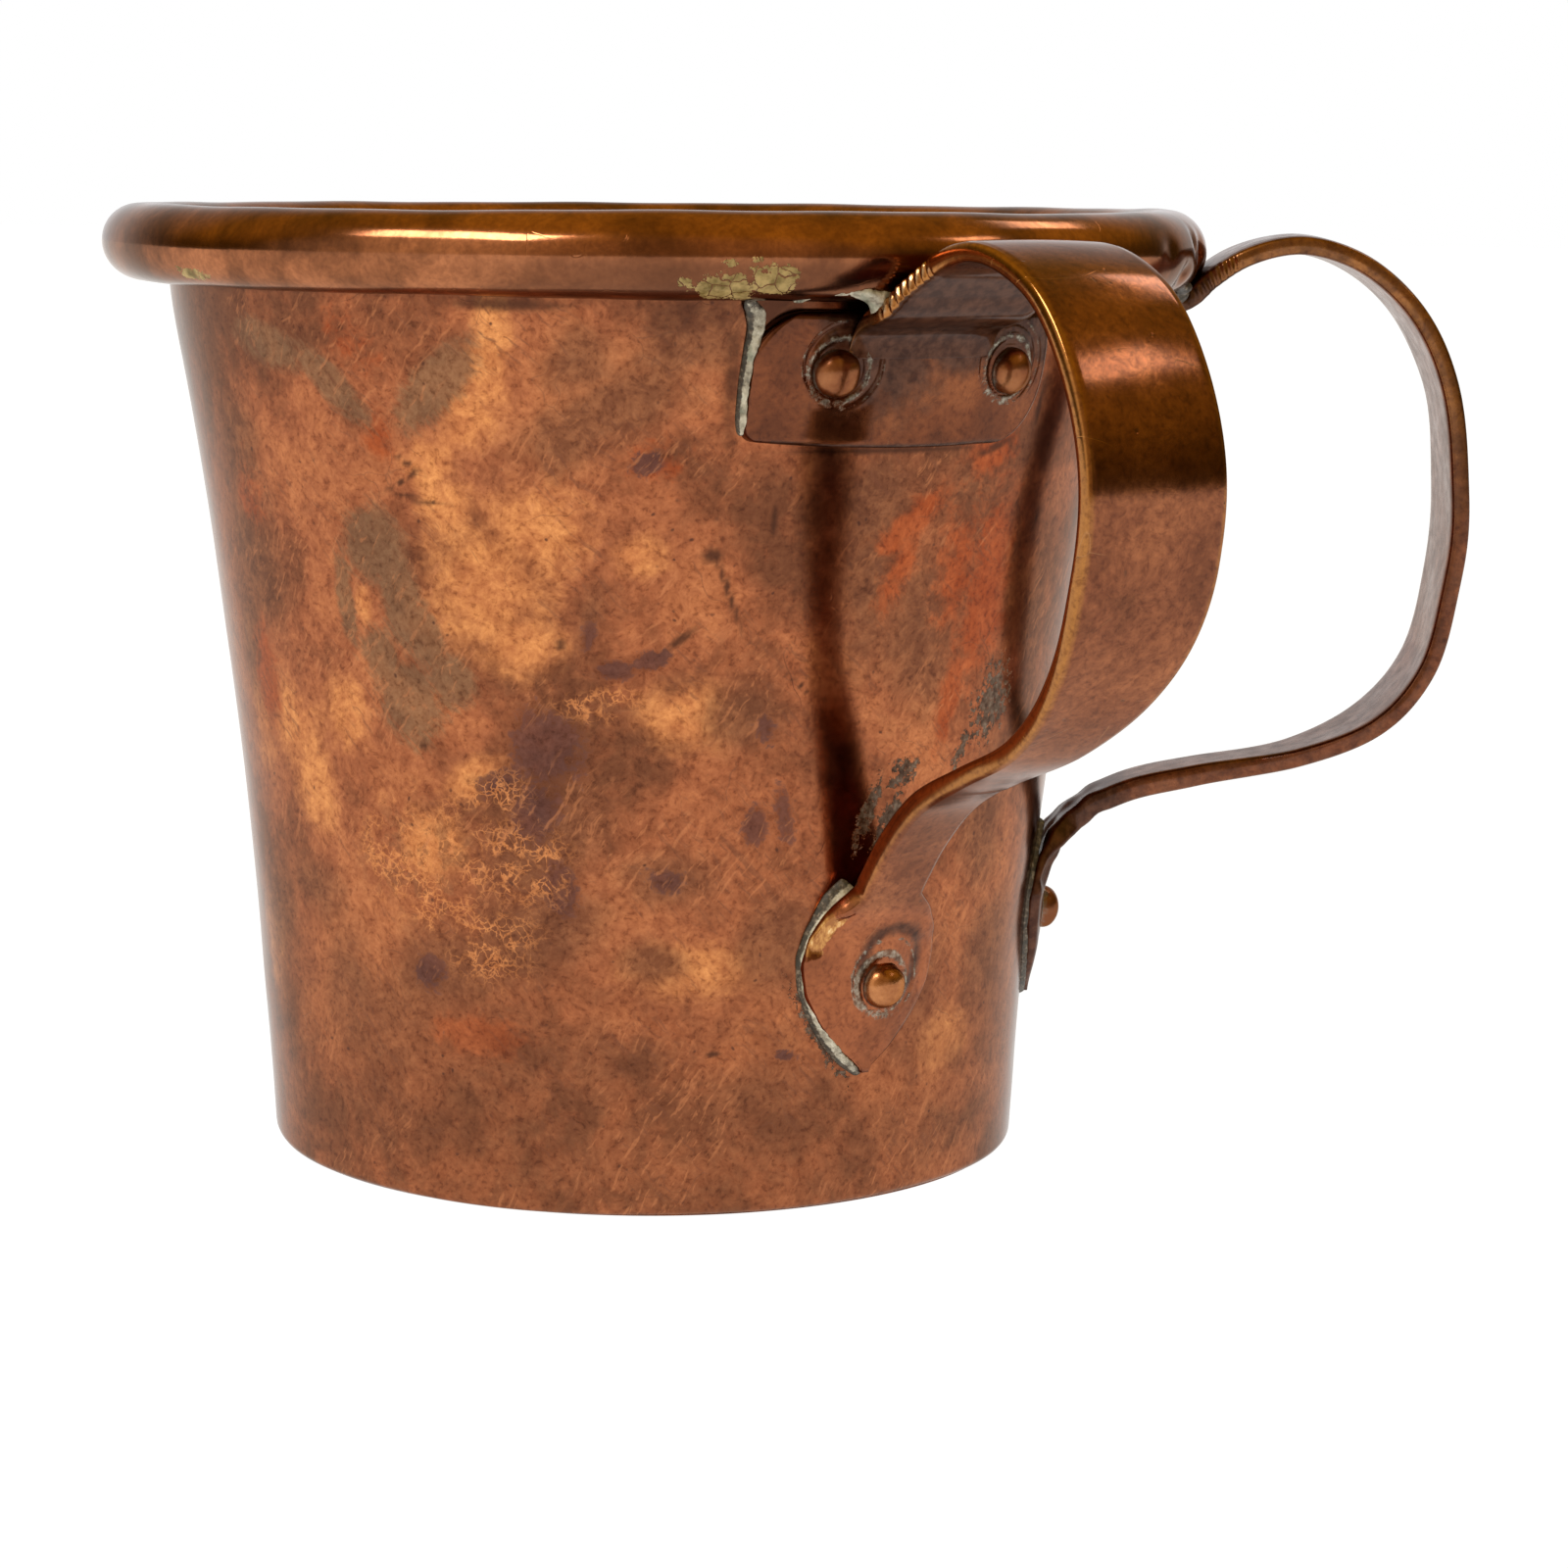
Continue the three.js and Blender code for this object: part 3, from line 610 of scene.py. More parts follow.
def far_side_stains(seed, count, low, high):
    """More stains of the same kinds for the sides of the cup away from the ones listed."""
    rng = np.random.default_rng(seed)
    return [(rng.uniform(100, 275), rng.uniform(12, 108), rng.uniform(low, high), rng.uniform(low, high) * 0.7,
             rng.uniform(-40, 40), rng.uniform(0.6, 0.95)) for _ in range(count)]


for key, *ranges in [("olive", 5, 7, 4, 9), ("purple", 6, 6, 2.4, 5.5), ("gold", 7, 16, 7, 14), ("red", 9, 12, 4, 8),
                     ("lace", 10, 4, 8, 12), ("brown", 11, 20, 5, 12)]:
    STAINS[key] += far_side_stains(*ranges)

# ---- the body ----
# knocks and creases in the rim, most of them near the side handle: azimuth, angle round the bead, both half widths
# in degrees, and depth
RIM_DENTS = [(77, -4, 1.6, 26, 1.0), (85, 20, 1.5, 20, 0.8), (70, -28, 1.4, 16, 0.7), (73.5, 16, 1.0, 18, 0.6),
             (80.5, -32, 1.3, 16, 0.9), (64, 8, 1.5, 16, 0.35), (89, -10, 1.3, 22, 0.7), (-47, 40, 9, 30, 0.2),
             (-7, 55, 6, 30, 0.12), (44, 15, 5, 30, 0.25), (140, 10, 8, 35, 0.4), (205, 30, 10, 40, 0.35),
             (250, -10, 7, 30, 0.3)]
# dried flakes on the rim: azimuth, angle round the bead and both half widths in degrees
FLAKES = [(8.6, -46, 2.6, 24), (13.0, -36, 2.2, 22), (10.4, -62, 1.2, 16), (14.4, -22, 1.3, 10), (11.5, -3, 0.5, 5),
          (9.2, -8, 0.5, 6), (5.0, -34, 0.6, 8), (-50, -44, 2.6, 12), (120, -30, 4, 12), (190, 10, 3, 12)]
BODY_STEPS = 540
CURL_START = -132  # where the bead's outside begins, in degrees round it
NOT_ON_BEAD = -180.0


def bead_shape(azimuth):
    """The curled rim's radius and its centre at each azimuth: it swells towards +X and was never quite round."""
    swell = np.sin(azimuth)
    wobble = 0.06 * np.sin(5 * azimuth + 0.6) + 0.05 * np.sin(11 * azimuth + 2.0) + 0.03 * np.sin(23 * azimuth)
    radius = BEAD + 0.12 + 0.28 * swell + wobble
    centre_r = BEAD_CENTRE[0] + 0.35 * swell + 0.05 * np.sin(7 * azimuth)
    centre_z = BEAD_CENTRE[1] + 0.25 * swell - 0.25 + 0.08 * np.sin(4 * azimuth + 1)
    return radius, centre_r, centre_z


def rim_push(azimuth, around):
    """Radial push of the bead by its dents, in mm."""
    push = 0
    for at, angle, wide, tall, depth in RIM_DENTS:
        push = push - depth * np.exp(-(np.degrees(past(azimuth, at)) / wide) ** 2 - ((around - angle) / tall) ** 2)
    return push


def body_piece():
    azimuth = np.linspace(0, TURN, BODY_STEPS, endpoint=False)
    angle = azimuth - math.pi / 2
    bead, centre_r, centre_z = bead_shape(azimuth)
    foot = FOOT_ROUND + 0.25 * np.sin(3 * azimuth) + 0.15 * np.sin(8 * azimuth + 1)
    rows, parts, places = [], [], []

    def row(radius, z, part, around=NOT_ON_BEAD):
        rows.append(np.broadcast_arrays(radius, z, azimuth)[:2])
        parts.append(part)
        places.append(around)

    def curl(radius, degrees, part):
        a = math.radians(degrees)
        row(centre_r + radius * math.cos(a), centre_z + radius * math.sin(a), part,
            degrees if part == "bead" else NOT_ON_BEAD)

    # up the outside, back over the bead from its hidden inner curl, and down the inside
    for k in range(7):
        a = math.radians(-90 + 90 * k / 6)
        row(wall_radius(foot, angle) - foot + foot * math.cos(a), foot + foot * math.sin(a), "foot")
    for z in np.arange(2.6, 118.2, 0.8):
        row(wall_radius(z, angle), z, "outside")
    for k in range(15):
        curl(bead - SHEET, lerp(180, CURL_START, k / 14), "hidden")
    for k in range(65):
        degrees = lerp(CURL_START, 180, k / 64)
        edge = 0.12 * np.sin(17 * azimuth) * smoothstep(-degrees, 100, 132)
        curl(bead + rim_push(azimuth, degrees) + edge, degrees, "bead")
    for z in np.arange(117.5, 1.5, -1.6):
        row(wall_radius(z, angle) - SHEET, z, "inside")
    row(wall_radius(1.0, angle) - SHEET, 0.3, "inside")
    row(wall_radius(1.0, angle) - SHEET + 0.3, 0.0, "foot")

    radius, z = np.array(rows).transpose(1, 0, 2)
    turn = np.broadcast_to(azimuth, radius.shape)
    around = np.array(places)[:, None]
    on_wall = np.array([part in ("outside", "foot") for part in parts], float)[:, None]
    is_bead = np.array([part == "bead" for part in parts], float)[:, None]
    values = {key: stain_field(stains, turn, z, radius) * on_wall for key, stains in STAINS.items()}
    values["bead"] = is_bead
    # low is 1 at the foot and fades out by 44 mm up; on the outside it carries the painted shade towards the foot
    values["low"] = 1 - smoothstep(z, 6, 44)
    # besides soot and the dark marks, painted shade on the bead's underside where it curls in against the wall
    values["soot_and_shade"] = highest(values["soot_and_shade"], 0.75 * is_bead * smoothstep(-around, 95, 130), values.pop("mark") * 1.05)
    for key, twist in (("slant_up", 0.017), ("slant_down", -0.012)):
        spun = turn + twist * z
        values[key] = np.stack([WALL_MEAN * np.cos(spun), WALL_MEAN * np.sin(spun), 0.12 * z], -1) * MM
    values["flake"] = is_bead * highest(*(blot(np.degrees(past(turn, at)) / wide, (around - angle) / tall)
                                          for at, angle, wide, tall in FLAKES))
    # painted shade on the bead's lower half, from a little left of the front handle to past it
    signed = past(turn, 0)
    shaded = smoothstep(signed, -0.35, 0.0) * fade(signed, 0.6, 1.0) * fade(around, -18, 14)
    values["rim_painted_shade"] = 0.7 * is_bead * shaded
    inner = [part == "inside" for part in parts]
    face_material = np.repeat([int(a and b) for a, b in zip(inner, inner[1:] + inner[:1])], BODY_STEPS)
    points = np.stack([radius * np.sin(turn), -radius * np.cos(turn), z], -1)
    faces = grid_faces(len(rows), BODY_STEPS, True, True)
    return mesh_piece("cup_body", points, faces, [BODY, INSIDE], values, face_material)


def lathe_piece(name, profile, steps, material, attributes, wobble, place=None):
    """A closed solid turned about +Z. The profile starts and ends on the axis."""
    ring = profile[1:-1]
    turn = np.linspace(0, TURN, steps, endpoint=False)
    points = [(0.0, 0.0, profile[0][1])]
    for r, z in ring:
        points += [(r * math.cos(t), r * math.sin(t), z) for t in turn]
    points = wobble(np.array(points + [(0.0, 0.0, profile[-1][1])]))
    values = {key: field(points) for key, field in attributes.items()}
    last = 1 + (len(ring) - 1) * steps
    faces = [(0, 1 + (j + 1) % steps, 1 + j) for j in range(steps)]
    faces += [tuple(1 + k for k in (a, b, c, d)) for a, b, c, d in grid_faces(len(ring), steps, False, True)]
    faces += [(last + j, last + (j + 1) % steps, len(points) - 1) for j in range(steps)]
    return mesh_piece(name, place(points) if place else points, faces, [material], values)


def reach_of(points):
    return np.hypot(points[:, 0], points[:, 1])


def base_piece():
    """The let-in base: slightly dished, dented, its underside edge sealed with a ring of solder."""
    radius, top = DISC_RADIUS + 0.25, DISC_TOP
    dish = waves(21, 14, 18, 60, 0.12)
    inner = np.linspace(0, radius - 0.6, 44)
    profile = [(0.0, 0.0)] + [(r, 0.0) for r in inner[1:]]
    profile += [(radius - 0.15, 0.12), (radius, 0.4), (radius, top - 0.4), (radius - 0.4, top)]
    profile += [(r, top) for r in inner[::-1][1:-1]] + [(0.0, top)]

    def wobble(points):
        reach = reach_of(points)
        free = smoothstep(-reach, -radius + 1, -radius + 9)
        points[:, 2] += (0.55 * (1 - (reach / radius) ** 2) + dish(points[:, 0], points[:, 1])) * free
        points[:, 2] = np.maximum(points[:, 2], 0.0)
        return points

    rim = {"rim": lambda p: smoothstep(reach_of(p), radius - 2.2, radius - 0.8)}
    return lathe_piece("cup_base", profile, 160, BASE, rim, wobble)


def ring_points(section, steps):
    """The rows of points of a closed ring about +Z from a closed section of (radius, z) points."""
    turn = np.linspace(0, TURN, steps, endpoint=False)
    return np.array([[(r * math.cos(t), r * math.sin(t), z) for t in turn] for r, z in section])


def wire_piece():
    radius = CURL_INSIDE - 0.5
    section = [(BEAD_CENTRE[0] + radius * math.cos(a), BEAD_CENTRE[1] + radius * math.sin(a))
               for a in np.linspace(0, TURN, 20, endpoint=False)]
    return mesh_piece("rim_wire_core", ring_points(section, 240), grid_faces(20, 240, True, True), [WIRE], {})


def base_solder_piece():
    """A rough fillet of solder in the corner between the base and the wall, inside the cup."""
    low, high = spread("base_solder")
    outer, bottom, leg = high[0] + 0.25, low[2] - 0.25, high[2] - low[2]
    section = [(outer, bottom), (outer + 0.02, bottom + leg * 1.05)]
    for k in range(1, 9):
        a = math.radians(90 * k / 9)
        section.append((outer - leg * math.sin(a), bottom + leg * (1 - math.cos(math.pi / 2 - a)) ** 0.9))
    section.append((outer - leg * 1.05, bottom))
    points = ring_points(section, 300)
    reach = np.hypot(points[..., 0], points[..., 1])
    push = grain(points, 3.2, 4) * 0.3 * smoothstep(outer - reach, 0.1, 1.2)
    points[..., :2] *= ((reach - push) / reach)[..., None]
    values = {"dark": 0.35 + 0.25 * grain(points, 6, 2), "brass": 0}
    return mesh_piece("base_fillet", points, grid_faces(len(section), 300, True, True), [SOLDER], values)


# ---- handles ----
STRAP_ROOT = [(66.4, 111), (67.2, 114.6), (69, 116.9), (72.6, 118.5), (75.1, 120.9)]
HANDLES = {
    "front": {
        "loop": [(79.6, 124), (86.5, 125.6), (94, 124.3), (101.5, 120.1), (107.7, 111.4), (111.3, 100.3), (110.9, 90.2),
                 (107.3, 80), (101, 71.9), (91.5, 64.8), (80.5, 59.6), (71.5, 54.8), (65.3, 49)],
        "neck": [(61.8, 44.4), (59.3, 40.8)],
        "taper": (0.52, 0.78), "lift": 0.0, "seed": 1,
    },
    "side": {
        "loop": [(80.3, 124.2), (88.3, 126), (96.6, 123.6), (104.4, 117), (109.8, 106.5), (111.8, 92), (111.2, 80),
                 (108.2, 66.9), (101.4, 58.5), (91, 53.5), (76.5, 50.1), (67.6, 47.9)],
        "neck": [(61.8, 44.9), (59.3, 42.4)],
        "taper": (0.68, 0.84), "lift": 1.8, "seed": 2,
    },
}
STRAP_HALF, ROOT_HALF, NECK_HALF = 10.3, 9.6, 4.8
STRAP_THICK, NECK_THICK, LEAF_THICK, PLATE_THICK = 2.5, 3.0, 1.9, 2.0
# the leaf's half width at heights from its neck down to its tip
LEAF_OUTLINE = [(42, 4.8), (39.8, 7.3), (36.7, 9.7), (33.2, 10.6), (29, 9.8), (24.8, 7.4), (21.2, 4.2), (18.4, 0.5)]
LEAF_SHIFT = 0.5
PLATE = {"bottom": 100.7, "top": 116.8, "left": -23.6, "right": 20.8}
RIVET_PITCH = 25.7
PLATE_RIVET_Z = 109.6
LEAF_RIVET = (1.7, 30.0)
# the lines that the solder follows: (across, z, standoff), the side seam's across counted from the plate's left edge
SIDE_SEAM = [(0.5, 101.2, 0), (0, 103.5, 0), (-0.1, 108, 0.1), (0.1, 112, 0.1), (0.6, 114.6, 0.2), (0.3, 116.4, 0.4),
             (-0.6, 117.6, 0.8), (-1.6, 118.2, 1.2)]
RIM_SEAM = [(-21.6, 117.9, 4.6), (-20, 119.0, 6.2), (-17.5, 119.3, 6.7), (-14.5, 119.3, 6.8), (-12.4, 119.0, 6.6),
            (-10.8, 118.0, 6.0), (-9.6, 116.9, 4.6)]
LEAF_SEAM = [(0.4, 17.4), (-2.8, 19.8), (-5.6, 22.9), (-8.0, 26.6), (-9.5, 30.2), (-9.9, 34.2), (-8.7, 37.6),
             (-6.6, 40.4), (-4.4, 42.4), (-2.9, 43.4)]


def centripetal(points):
    """Points along a smooth curve through the given ones (a centripetal Catmull-Rom curve), closer near its start."""
    p = np.array(points, float)
    p = np.vstack([2 * p[0] - p[1], p, 2 * p[-1] - p[-2]])
    dense = []
    for a, b, c, d in zip(p[:-3], p[1:-2], p[2:-1], p[3:]):
        t0 = 0.0
        t1 = t0 + math.sqrt(np.linalg.norm(b - a))
        t2 = t1 + math.sqrt(np.linalg.norm(c - b))
        t3 = t2 + math.sqrt(np.linalg.norm(d - c))
        for t in np.linspace(t1, t2, 40, endpoint=False):
            a1 = a * (t1 - t) / (t1 - t0) + b * (t - t0) / (t1 - t0)
            a2 = b * (t2 - t) / (t2 - t1) + c * (t - t1) / (t2 - t1)
            a3 = c * (t3 - t) / (t3 - t2) + d * (t - t2) / (t3 - t2)
            b1 = a1 * (t2 - t) / (t2 - t0) + a2 * (t - t0) / (t2 - t0)
            b2 = a2 * (t3 - t) / (t3 - t1) + a3 * (t - t1) / (t3 - t1)
            dense.append(b1 * (t2 - t) / (t2 - t1) + b2 * (t - t1) / (t2 - t1))
    dense.append(p[-2])
    dense = np.array(dense)
    run = np.concatenate([[0], np.cumsum(np.linalg.norm(np.diff(dense, axis=0), axis=1))])
    even = np.concatenate([np.arange(0, 32, 0.22), np.arange(32, run[-1] - 0.3, 0.62), [run[-1]]])
    return np.stack([np.interp(even, run, dense[:, k]) for k in range(2)], 1), even


class Place:
    """Turns handle coordinates (out along the handle, across it, up) into the cup's own."""

    def __init__(self, prefix):
        self.prefix = prefix
        self.angle = math.radians(BEARINGS[prefix])

    def world(self, x, y, z):
        c, s = math.cos(self.angle), math.sin(self.angle)
        x, y, z = np.broadcast_arrays(x, y, z)
        return np.stack([c * x - s * y, s * x + c * y, z], -1)

    def on_wall(self, across, z, standoff):
        """A point across from the handle's middle, measured round the wall, standing off the wall's outside."""
        across, z, standoff = np.broadcast_arrays(np.asarray(across, float), z, standoff)
        turn = across / (wall_radius(z, self.angle) + standoff)
        radius = wall_radius(z, self.angle + turn) + standoff
        return np.stack([radius * np.cos(self.angle + turn), radius * np.sin(self.angle + turn), z], -1)


def rivet_ring_field(across, z, centres):
    """Ring marks that the tool left round each rivet, a little off centre where it struck twice."""
    total, near = 0, 0
    for k, (a, h) in enumerate(centres):
        distance = np.hypot(across - a, z - h)
        again = np.hypot(across - a - 0.5 + k * 0.3, z - h - 0.7)
        total = total - 0.2 * ridge(distance, 3.35, 0.3) - 0.16 * ridge(again, 4.9, 0.28)
        total = total + 0.16 * ridge(distance, 4.0, 0.4) + 0.08 * ridge(again, 5.5, 0.4)
        near = highest(near, 0.95 * ridge(distance, 4.0, 0.6), 0.7 * ridge(again, 5.4, 0.3))
    return total, near


def leaf_half_width(leaf_z):
    """Half the leaf's width at each height, its outline softened."""
    heights, halves = np.array(LEAF_OUTLINE)[::-1].T
    dense_z = np.linspace(heights[0], heights[-1], 200)
    dense = np.interp(dense_z, heights, halves)
    kernel = np.hanning(23) / np.hanning(23).sum()
    padded = np.concatenate([dense[:1] * np.linspace(0.2, 1, 11), dense, np.full(11, dense[-1])])
    return np.interp(leaf_z, dense_z, np.convolve(padded, kernel, "valid"))


def bar_section(half, thick):
    """A flat bar's section at each step: across, depth, how near an edge and how far on the outer face."""
    counts = [72, 10, 26, 10]  # outer face, right edge, inner face, left edge
    t = np.concatenate([np.linspace(-1, 1, 72), np.linspace(0, 1, 12)[1:-1],
                        np.linspace(1, -1, 26), np.linspace(1, 0, 12)[1:-1]])
    flat = np.repeat([True, False, True, False], counts)
    facing = np.repeat([1.0, 0.0, 0.0, 0.0], counts)
    sign = np.repeat([0, 1, 0, -1], counts)
    corner = 0.55 * np.minimum(0.75, half * 0.45)
    bulge = np.sin(math.pi * np.clip(t, 0, 1)) ** 0.45
    across = np.where(flat, t * (half - corner), sign * (half - corner * (1 - bulge)))
    near_edge = 0.12 * smoothstep(abs(t), 0.9, 1.0)
    depth = np.where(flat, np.where(facing > 0, near_edge, thick - near_edge), lerp(0.12, thick - 0.12, t))
    edge = np.where(flat, 0.55 * smoothstep(np.abs(across), half - 1.6, half - 0.5), 1.0)
    return across, depth, edge, np.where(flat, facing, 1 - t)


def strap_piece(place, shape):
    """The strap with its leaf, as one band that follows its path from the plate round to the leaf's tip."""
    lift, seed, front = shape["lift"], shape["seed"], place.prefix == "front"
    tail = [(float(wall_radius(h + lift, place.angle)) + LEAF_THICK * (1 - 0.45 * float(smoothstep(-h, -27, -18.5)))
             + 0.15 + 0.9 * float(smoothstep(h, 33, 39)), h + lift) for h in np.arange(38, 17, -2.5)]
    path, length = centripetal(STRAP_ROOT + shape["loop"] + shape["neck"] + tail)
    tangent = np.gradient(path, length, axis=0)
    tangent /= np.linalg.norm(tangent, axis=1, keepdims=True)
    rho, z, run = path[:, :1], path[:, 1:], length[:, None]
    f = run / length[-1]
    leaf_z = z - lift
    late = f > 0.7
    on_leaf = late & (leaf_z < 42)
    g = f / f[np.argmax(on_leaf)]  # share of the way down to the leaf's neck
    half = lerp(ROOT_HALF, STRAP_HALF, smoothstep(g, 0.03, 0.1))
    half = half - (STRAP_HALF - NECK_HALF) * smoothstep(g, *shape["taper"])
    half = np.where(on_leaf, leaf_half_width(leaf_z), half)
    shift = LEAF_SHIFT * smoothstep(-leaf_z, -44, -38) * (f > 0.6)
    thick = lerp(STRAP_THICK, NECK_THICK, smoothstep(g, 0.78, 0.92))
    thick = lerp(thick, LEAF_THICK, smoothstep(-leaf_z, -42, -35) * late)
    thick = lerp(0.12, thick, smoothstep(f, 0, 0.045)) * lerp(1, 0.55, smoothstep(-leaf_z, -24, -18.5) * late)
    wrap = 1 - smoothstep(f, 0.01, 0.06) + smoothstep(-leaf_z, -43, -37) * late

    across, depth, edge, outer = bar_section(half, thick)
    depth = depth - 0.22 * (1 - (across / half) ** 2) * (1 - smoothstep(-leaf_z, -44, -36) * late) * outer
    depth = depth + waves(31 + seed, 16, 12, 50, 0.07)(run, across) * smoothstep(f, 0.04, 0.12)
    if front:
        hang = smoothstep(z, 56, 66) * fade(z, 68, 92) * (rho > 78)
        depth = depth - 1.2 * hang * smoothstep(across, -5, 10)
    else:
        lumps = waves(61, 14, 2.4, 7, 0.2)(run, across)
        depth = depth + lumps * smoothstep(g, 0.955, 0.985) * fade(-leaf_z, -40, -37)
    across = across + waves(51 + seed, 8, 40, 120, 0.12)(run, 0) * smoothstep(f, 0.06, 0.15) + shift

    # marks of the rivet tool on the leaf, its filed upper-left shoulder and its thin right-hand edge
    marks, near = rivet_ring_field(across, leaf_z, [LEAF_RIVET])
    leaf_share = smoothstep(-leaf_z, -43, -38) * late
    inset = half + across - shift
    window = smoothstep(leaf_z, 33.6, 35.6) * fade(leaf_z, 38.6, 40.4) * late
    filed = window * fade(inset, 1.5, 2.6)
    thin = leaf_share * smoothstep(across, 2, 10) * smoothstep(-leaf_z, -38, -34)
    depth = depth + (0.7 * filed + 0.95 * thin - marks * leaf_share) * outer

    # chisel marks across the near edge where the front strap leaves the rim
    chiselled = smoothstep(run, 9.5, 10.5) * fade(run, 18, 19.5)
    notch = 0.5 + 0.5 * np.cos(TURN * (run + 0.35 * depth) / 1.15)
    notch = notch * chiselled * smoothstep(-across, 7.0, 8.6)
    across = across - 2.3 * front * fade(run, 9, 19) * smoothstep(-across, 3, 9) + 0.3 * notch
    bright = smoothstep(1 - notch, 0.3, 0.9) * chiselled * smoothstep(-across, 8.6, 9.4)
    bright = bright * smoothstep(outer, 0.15, 0.5) * front

    radius = rho + tangent[:, 1:] * depth
    turn = across / radius
    x, y = lerp(radius, radius * np.cos(turn), wrap), lerp(across, radius * np.sin(turn), wrap)
    points = place.world(x, y, z - tangent[:, :1] * depth)
    # soot and painted shade: shade on the strap's inner face near the rim and darker all round its root, a dark ring
    # round the leaf's rivet, and the side handle darker all over, most at its root and neck
    soot_and_shade = 1.15 * fade(run, 12, 30) * fade(outer, 0, 0.4)
    soot_and_shade = soot_and_shade * (1 - smoothstep(edge, 0.6, 1.0) * smoothstep(run, 6, 9))
    soot_and_shade = highest(soot_and_shade, 0.55 * fade(run, 6, 14)) * (1 - bright)
    soot_and_shade = highest(soot_and_shade, 0.8 * leaf_share * blot(np.hypot(across - 3.0, leaf_z - 33) - 4.6, 0))
    edge = edge * (1 - 0.8 * leaf_share) * lerp(1, 0.5, smoothstep(g, 0.7, 0.95))
    if not front:
        soot_and_shade = highest(soot_and_shade, 0.95 * smoothstep(-f, -0.12, -0.06), 0.9 * smoothstep(g, 0.9, 0.97), 0.48)
        edge = edge * (0.2 + 0.4 * fade(g, 0.35, 0.6))
    values = {
        "edge": edge, "leaf": leaf_share, "soot_and_shade": np.clip(soot_and_shade, 0, 1), "filed": filed * front, "bright": 0.7 * bright,
        "verdigris": near * leaf_share * outer * (0.68 + 0.32 * smoothstep(leaf_z - across, 27, 31)), "plate": 0}
    return mesh_piece(f"{place.prefix}_strap", points, tube_faces(*across.shape), [HANDLE], values)


def plate_outline(z):
    """The plate's left and right edge at a height: a sharp lower left corner and three rounder ones."""
    left = np.full_like(z, PLATE["left"])
    right = np.full_like(z, PLATE["right"])

    def round_off(distance, corner):
        into = np.clip(corner - distance, 0, corner)
        return corner - np.sqrt(np.maximum(corner**2 - into**2, 0))

    from_bottom, from_top = z - PLATE["bottom"], PLATE["top"] - z
    left = left + round_off(from_bottom, 1.6) + round_off(from_top, 6.5)
    right = right - round_off(from_bottom, 9.5) - round_off(from_top, 5.0)
    return left, right


def plate_piece(place, shape):
    """The riveted plate under the rim, dished round its rivets, with softly worn edges."""
    rows, columns = 62, 170
    v = np.linspace(0, 1, rows)[:, None]
    v = 0.5 - 0.5 * np.cos(math.pi * v) * (0.72 + 0.28 * np.abs(np.cos(math.pi * v)))
    z0 = lerp(PLATE["bottom"], PLATE["top"], v)
    left, right = plate_outline(z0)
    s = np.linspace(0, 1, columns)
    across = lerp(left, right, lerp(s, 0.5 - 0.5 * np.cos(math.pi * s), 0.6))
    z = z0 - 0.9 * fade(v, 0, 1) * (1 - (across / 22.0) ** 2) + 0.6 * smoothstep(across, 8, 22) * (v - 1)
    edge_distance = np.minimum(np.minimum(across - left, right - across),
                               np.minimum(z0 - PLATE["bottom"], PLATE["top"] - z0))
    rolled = 1 - np.clip(edge_distance / 1.1, 0, 1)
    marks, near = rivet_ring_field(across, z, [(-RIVET_PITCH / 2, PLATE_RIVET_Z), (RIVET_PITCH / 2, PLATE_RIVET_Z)])
    uneven = waves(41 + shape["seed"], 14, 6, 22, 0.05)(across, z)
    front = PLATE_THICK * (0.55 + 0.45 * np.sqrt(np.clip(1 - rolled**2, 0, 1))) + (marks + uneven) * (1 - rolled)
    points = np.stack([place.on_wall(across, z, front), place.on_wall(across, z, 0.04)])
    n = rows * columns
    faces = grid_faces(rows, columns, False, False)
    faces += [tuple(n + k for k in face[::-1]) for face in faces]
    rim = [(0, j) for j in range(columns)] + [(i, columns - 1) for i in range(1, rows)]
    rim += [(rows - 1, j) for j in range(columns - 2, -1, -1)] + [(i, 0) for i in range(rows - 2, 0, -1)]
    ids = [i * columns + j for i, j in rim]
    faces += [(a, n + a, n + b, b) for a, b in zip(ids, ids[1:] + ids[:1])]
    # a dark patch round the left rivet, painted shade in a band under the rim, and darker over the upper part and along
    # the rolled edges but the left one
    soot_and_shade = highest(
        blot((across + 6.5) / 7.5, (z - 110.5) / 6), blot((across - 2) / 16, (z - 116) / 2.6),
        0.8 * blot((across - 14) / 5, (z - 112) / 5),
        1.05 * smoothstep(z + 1.5 * np.sin(across * 0.35), 107.5, 113.5) * smoothstep(across, -20, -12),
        0.92 * smoothstep(rolled, 0.25, 0.9) * (across > PLATE["left"] + 3))
    values = {"edge": rolled * 0.2, "leaf": 0, "soot_and_shade": soot_and_shade, "verdigris": 0.62 * near, "filed": 0, "bright": 0,
              "plate": 1}
    return mesh_piece(f"{place.prefix}_plate", points, faces, [HANDLE], values)


def hash_of(text):
    """A small fixed number for a name, the same in every run."""
    return functools.reduce(lambda total, letter: (total * 31 + ord(letter)) % 100003, text, 7)


